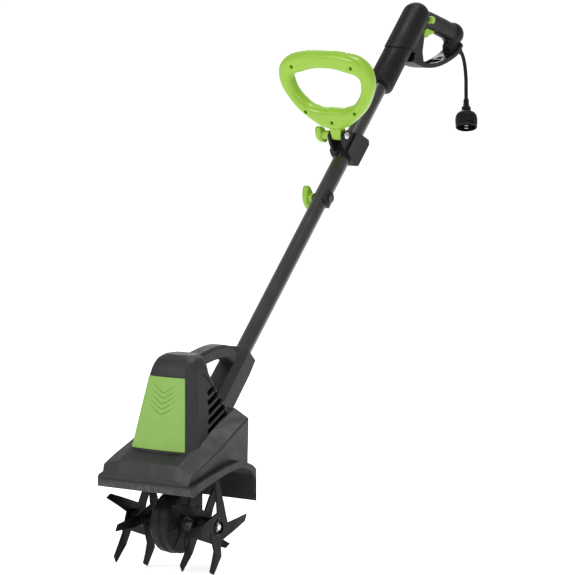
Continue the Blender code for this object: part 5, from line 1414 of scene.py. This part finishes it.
# ---------------------------------------------------------------- what shows through the vents
def dress_inside():
    """The motor and gears keep their shape and get their real finishes."""
    finishes = {
        "laminated_core": ["motor_stator", "armature"],
        "lacquered_copper": ["field_coil_lower", "field_coil_upper", "commutator"],
        "carbon_block": ["brush_left", "brush_right"],
        "machined_bronze": ["worm_wheel", "axle_bush_left", "axle_bush_right", "foot_bush"],
        "ground_steel": ["tine_axle", "worm_shaft", "lower_bearing", "upper_bearing", "trigger_pin"],
        "switch_plastic": ["cooling_fan", "power_switch"],
        "seal_rubber": ["axle_seal_left", "axle_seal_right", "inner_lead"],
    }
    for name, nodes in finishes.items():
        for node in nodes:
            dressed(node, name)


# ---------------------------------------------------------------- stage
def make_stage():
    """A pale floor, soft studio light and the camera."""
    scene = bpy.context.scene
    scene.view_settings.view_transform = "Standard"
    work = bmesh.new()
    bmesh.ops.create_grid(work, x_segments=1, y_segments=1, size=150.0)
    floor = bpy.data.objects.new("studio_floor", mesh_from(work, "studio_floor"))
    pale = bpy.data.materials.new("pale_floor")
    pale.use_nodes = True
    shader = pale.node_tree.nodes["Principled BSDF"]
    values = {"Base Color": (0.97, 0.97, 0.97, 1), "Roughness": 0.9, "Specular IOR Level": 0.1}
    values |= {"Emission Color": (1, 1, 1, 1), "Emission Strength": 0.55}
    for label, value in values.items():
        shader.inputs[label].default_value = value
    floor.data.materials.append(pale)
    scene.collection.objects.link(floor)
    world = bpy.data.worlds.new("studio")
    world.use_nodes = True
    world.node_tree.nodes["Background"].inputs[0].default_value = (1, 1, 1, 1)
    world.node_tree.nodes["Background"].inputs[1].default_value = 0.55
    scene.world = world
    middle = at(0, 0.4, 0.36)
    lamps = (
        ("key_light", (-0.9, -2.3, 1.3), (0.8, 0.8), 20),
        ("side_light", (2.2, -1.5, 1.9), (0.35, 0.35), 7),
        ("top_light", (0.1, 0.3, 2.6), (1.1, 1.1), 24),
        ("rear_light", (-1.4, 2.2, 1.5), (0.8, 0.8), 12),
        ("strip_light", (2.5, -1.0, 0.5), (0.16, 2.2), 7),
    )
    for name, place, (wide, high), watts in lamps:
        lamp = bpy.data.lights.new(name, "AREA")
        lamp.shape = "DISK" if wide == high else "RECTANGLE"
        lamp.size, lamp.size_y = wide, high
        lamp.energy = watts
        light = bpy.data.objects.new(name, lamp)
        light.location = middle + Vector(place)
        light.rotation_euler = (-Vector(place)).to_track_quat("-Z", "Y").to_euler()
        scene.collection.objects.link(light)
    lens = bpy.data.cameras.new("camera")
    lens.lens = 206.6
    lens.clip_end = 50
    camera = bpy.data.objects.new("camera", lens)
    camera.location = AXLE + Vector((3.0313, -4.1782, 0.9806))
    around, down = math.radians(34.0), math.radians(6.7)
    camera.rotation_euler = (math.pi / 2 - down, 0, around)
    scene.collection.objects.link(camera)
    scene.camera = camera


# ---------------------------------------------------------------- add-on
class Builder:
    """What the pieces' operators share: each one hands the sizes to its makers."""

    bl_options = {"REGISTER", "UNDO"}

    def execute(self, context):
        for make in self.makers:
            make(context.scene.cultivator_sizes)
        return {"FINISHED"}


class CULTIVATOR_OT_finishes(bpy.types.Operator):
    """Make the plastics, enamels and metals that the pieces share"""

    bl_idname = "cultivator.finishes"
    bl_label = "Finishes"

    def execute(self, context):
        make_finishes(context.scene.cultivator_finishes)
        return {"FINISHED"}


class CULTIVATOR_OT_stage(bpy.types.Operator):
    """Set the floor, the lights and the camera"""

    bl_idname = "cultivator.stage"
    bl_label = "Stage"

    def execute(self, context):
        make_stage()
        return {"FINISHED"}


class CULTIVATOR_OT_cord(Builder, bpy.types.Operator):
    """Make the cord, its strain relief and its plug"""

    bl_idname = "cultivator.cord"
    bl_label = "Cord and plug"
    makers = (make_cord,)


class CULTIVATOR_OT_housing(Builder, bpy.types.Operator):
    """Make the guard, the tower, the socket and the carrying bridge"""

    bl_idname = "cultivator.housing"
    bl_label = "Housing"
    makers = (make_housing,)


class CULTIVATOR_OT_panel(Builder, bpy.types.Operator):
    """Make the front panel with its chevrons"""

    bl_idname = "cultivator.panel"
    bl_label = "Front panel"
    makers = (make_front_panel,)


class CULTIVATOR_OT_tines(Builder, bpy.types.Operator):
    """Make the tines, their hubs and the axle's bolts"""

    bl_idname = "cultivator.tines"
    bl_label = "Tines"
    makers = (make_tines,)


class CULTIVATOR_OT_gearbox(Builder, bpy.types.Operator):
    """Make the gearbox with its ribs"""

    bl_idname = "cultivator.gearbox"
    bl_label = "Gearbox"
    makers = (make_gearbox,)


class CULTIVATOR_OT_pole(Builder, bpy.types.Operator):
    """Make the pole's tubes and the bolt and knob that join them"""

    bl_idname = "cultivator.pole"
    bl_label = "Pole"
    makers = (make_pole, make_tube_bolt)


class CULTIVATOR_OT_loop(Builder, bpy.types.Operator):
    """Make the tilting loop handle, its clamp, bolt and knob"""

    bl_idname = "cultivator.loop"
    bl_label = "Loop handle"
    makers = (make_loop_handle, make_loop_clamp)


class CULTIVATOR_OT_handle(Builder, bpy.types.Operator):
    """Make the main handle, its trigger and its lock button"""

    bl_idname = "cultivator.handle"
    bl_label = "Main handle"
    makers = (make_main_handle,)


class CULTIVATOR_OT_inside(bpy.types.Operator):
    """Give the motor and the gears their finishes"""

    bl_idname = "cultivator.inside"
    bl_label = "Motor and gears"

    def execute(self, context):
        dress_inside()
        return {"FINISHED"}


STEPS = (
    CULTIVATOR_OT_finishes,
    CULTIVATOR_OT_stage,
    CULTIVATOR_OT_cord,
    CULTIVATOR_OT_handle,
    CULTIVATOR_OT_loop,
    CULTIVATOR_OT_pole,
    CULTIVATOR_OT_housing,
    CULTIVATOR_OT_panel,
    CULTIVATOR_OT_tines,
    CULTIVATOR_OT_gearbox,
    CULTIVATOR_OT_inside,
)


class CULTIVATOR_PT_build(bpy.types.Panel):
    """The cultivator's sizes, colours and pieces"""

    bl_idname = "CULTIVATOR_PT_build"
    bl_label = "Mini cultivator"
    bl_space_type = "VIEW_3D"
    bl_region_type = "UI"
    bl_category = "Cultivator"

    def draw(self, context):
        scene = context.scene
        for group in (scene.cultivator_sizes, scene.cultivator_finishes):
            box = self.layout.box()
            for name in group.bl_rna.properties.keys():
                if name not in ("rna_type", "name"):
                    box.prop(group, name)
        column = self.layout.column(align=True)
        for step in STEPS:
            column.operator(step.bl_idname)


CLASSES = (CultivatorSizes, CultivatorFinishes, *STEPS, CULTIVATOR_PT_build)


def register():
    for item in CLASSES:
        bpy.utils.register_class(item)
    bpy.types.Scene.cultivator_sizes = PointerProperty(type=CultivatorSizes)
    bpy.types.Scene.cultivator_finishes = PointerProperty(type=CultivatorFinishes)


def unregister():
    del bpy.types.Scene.cultivator_finishes
    del bpy.types.Scene.cultivator_sizes
    for item in reversed(CLASSES):
        bpy.utils.unregister_class(item)


def main():
    """Registers the add-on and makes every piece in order."""
    register()
    for step in STEPS:
        group, name = step.bl_idname.split(".")
        getattr(getattr(bpy.ops, group), name)()


if __name__ == "__main__":
    main()
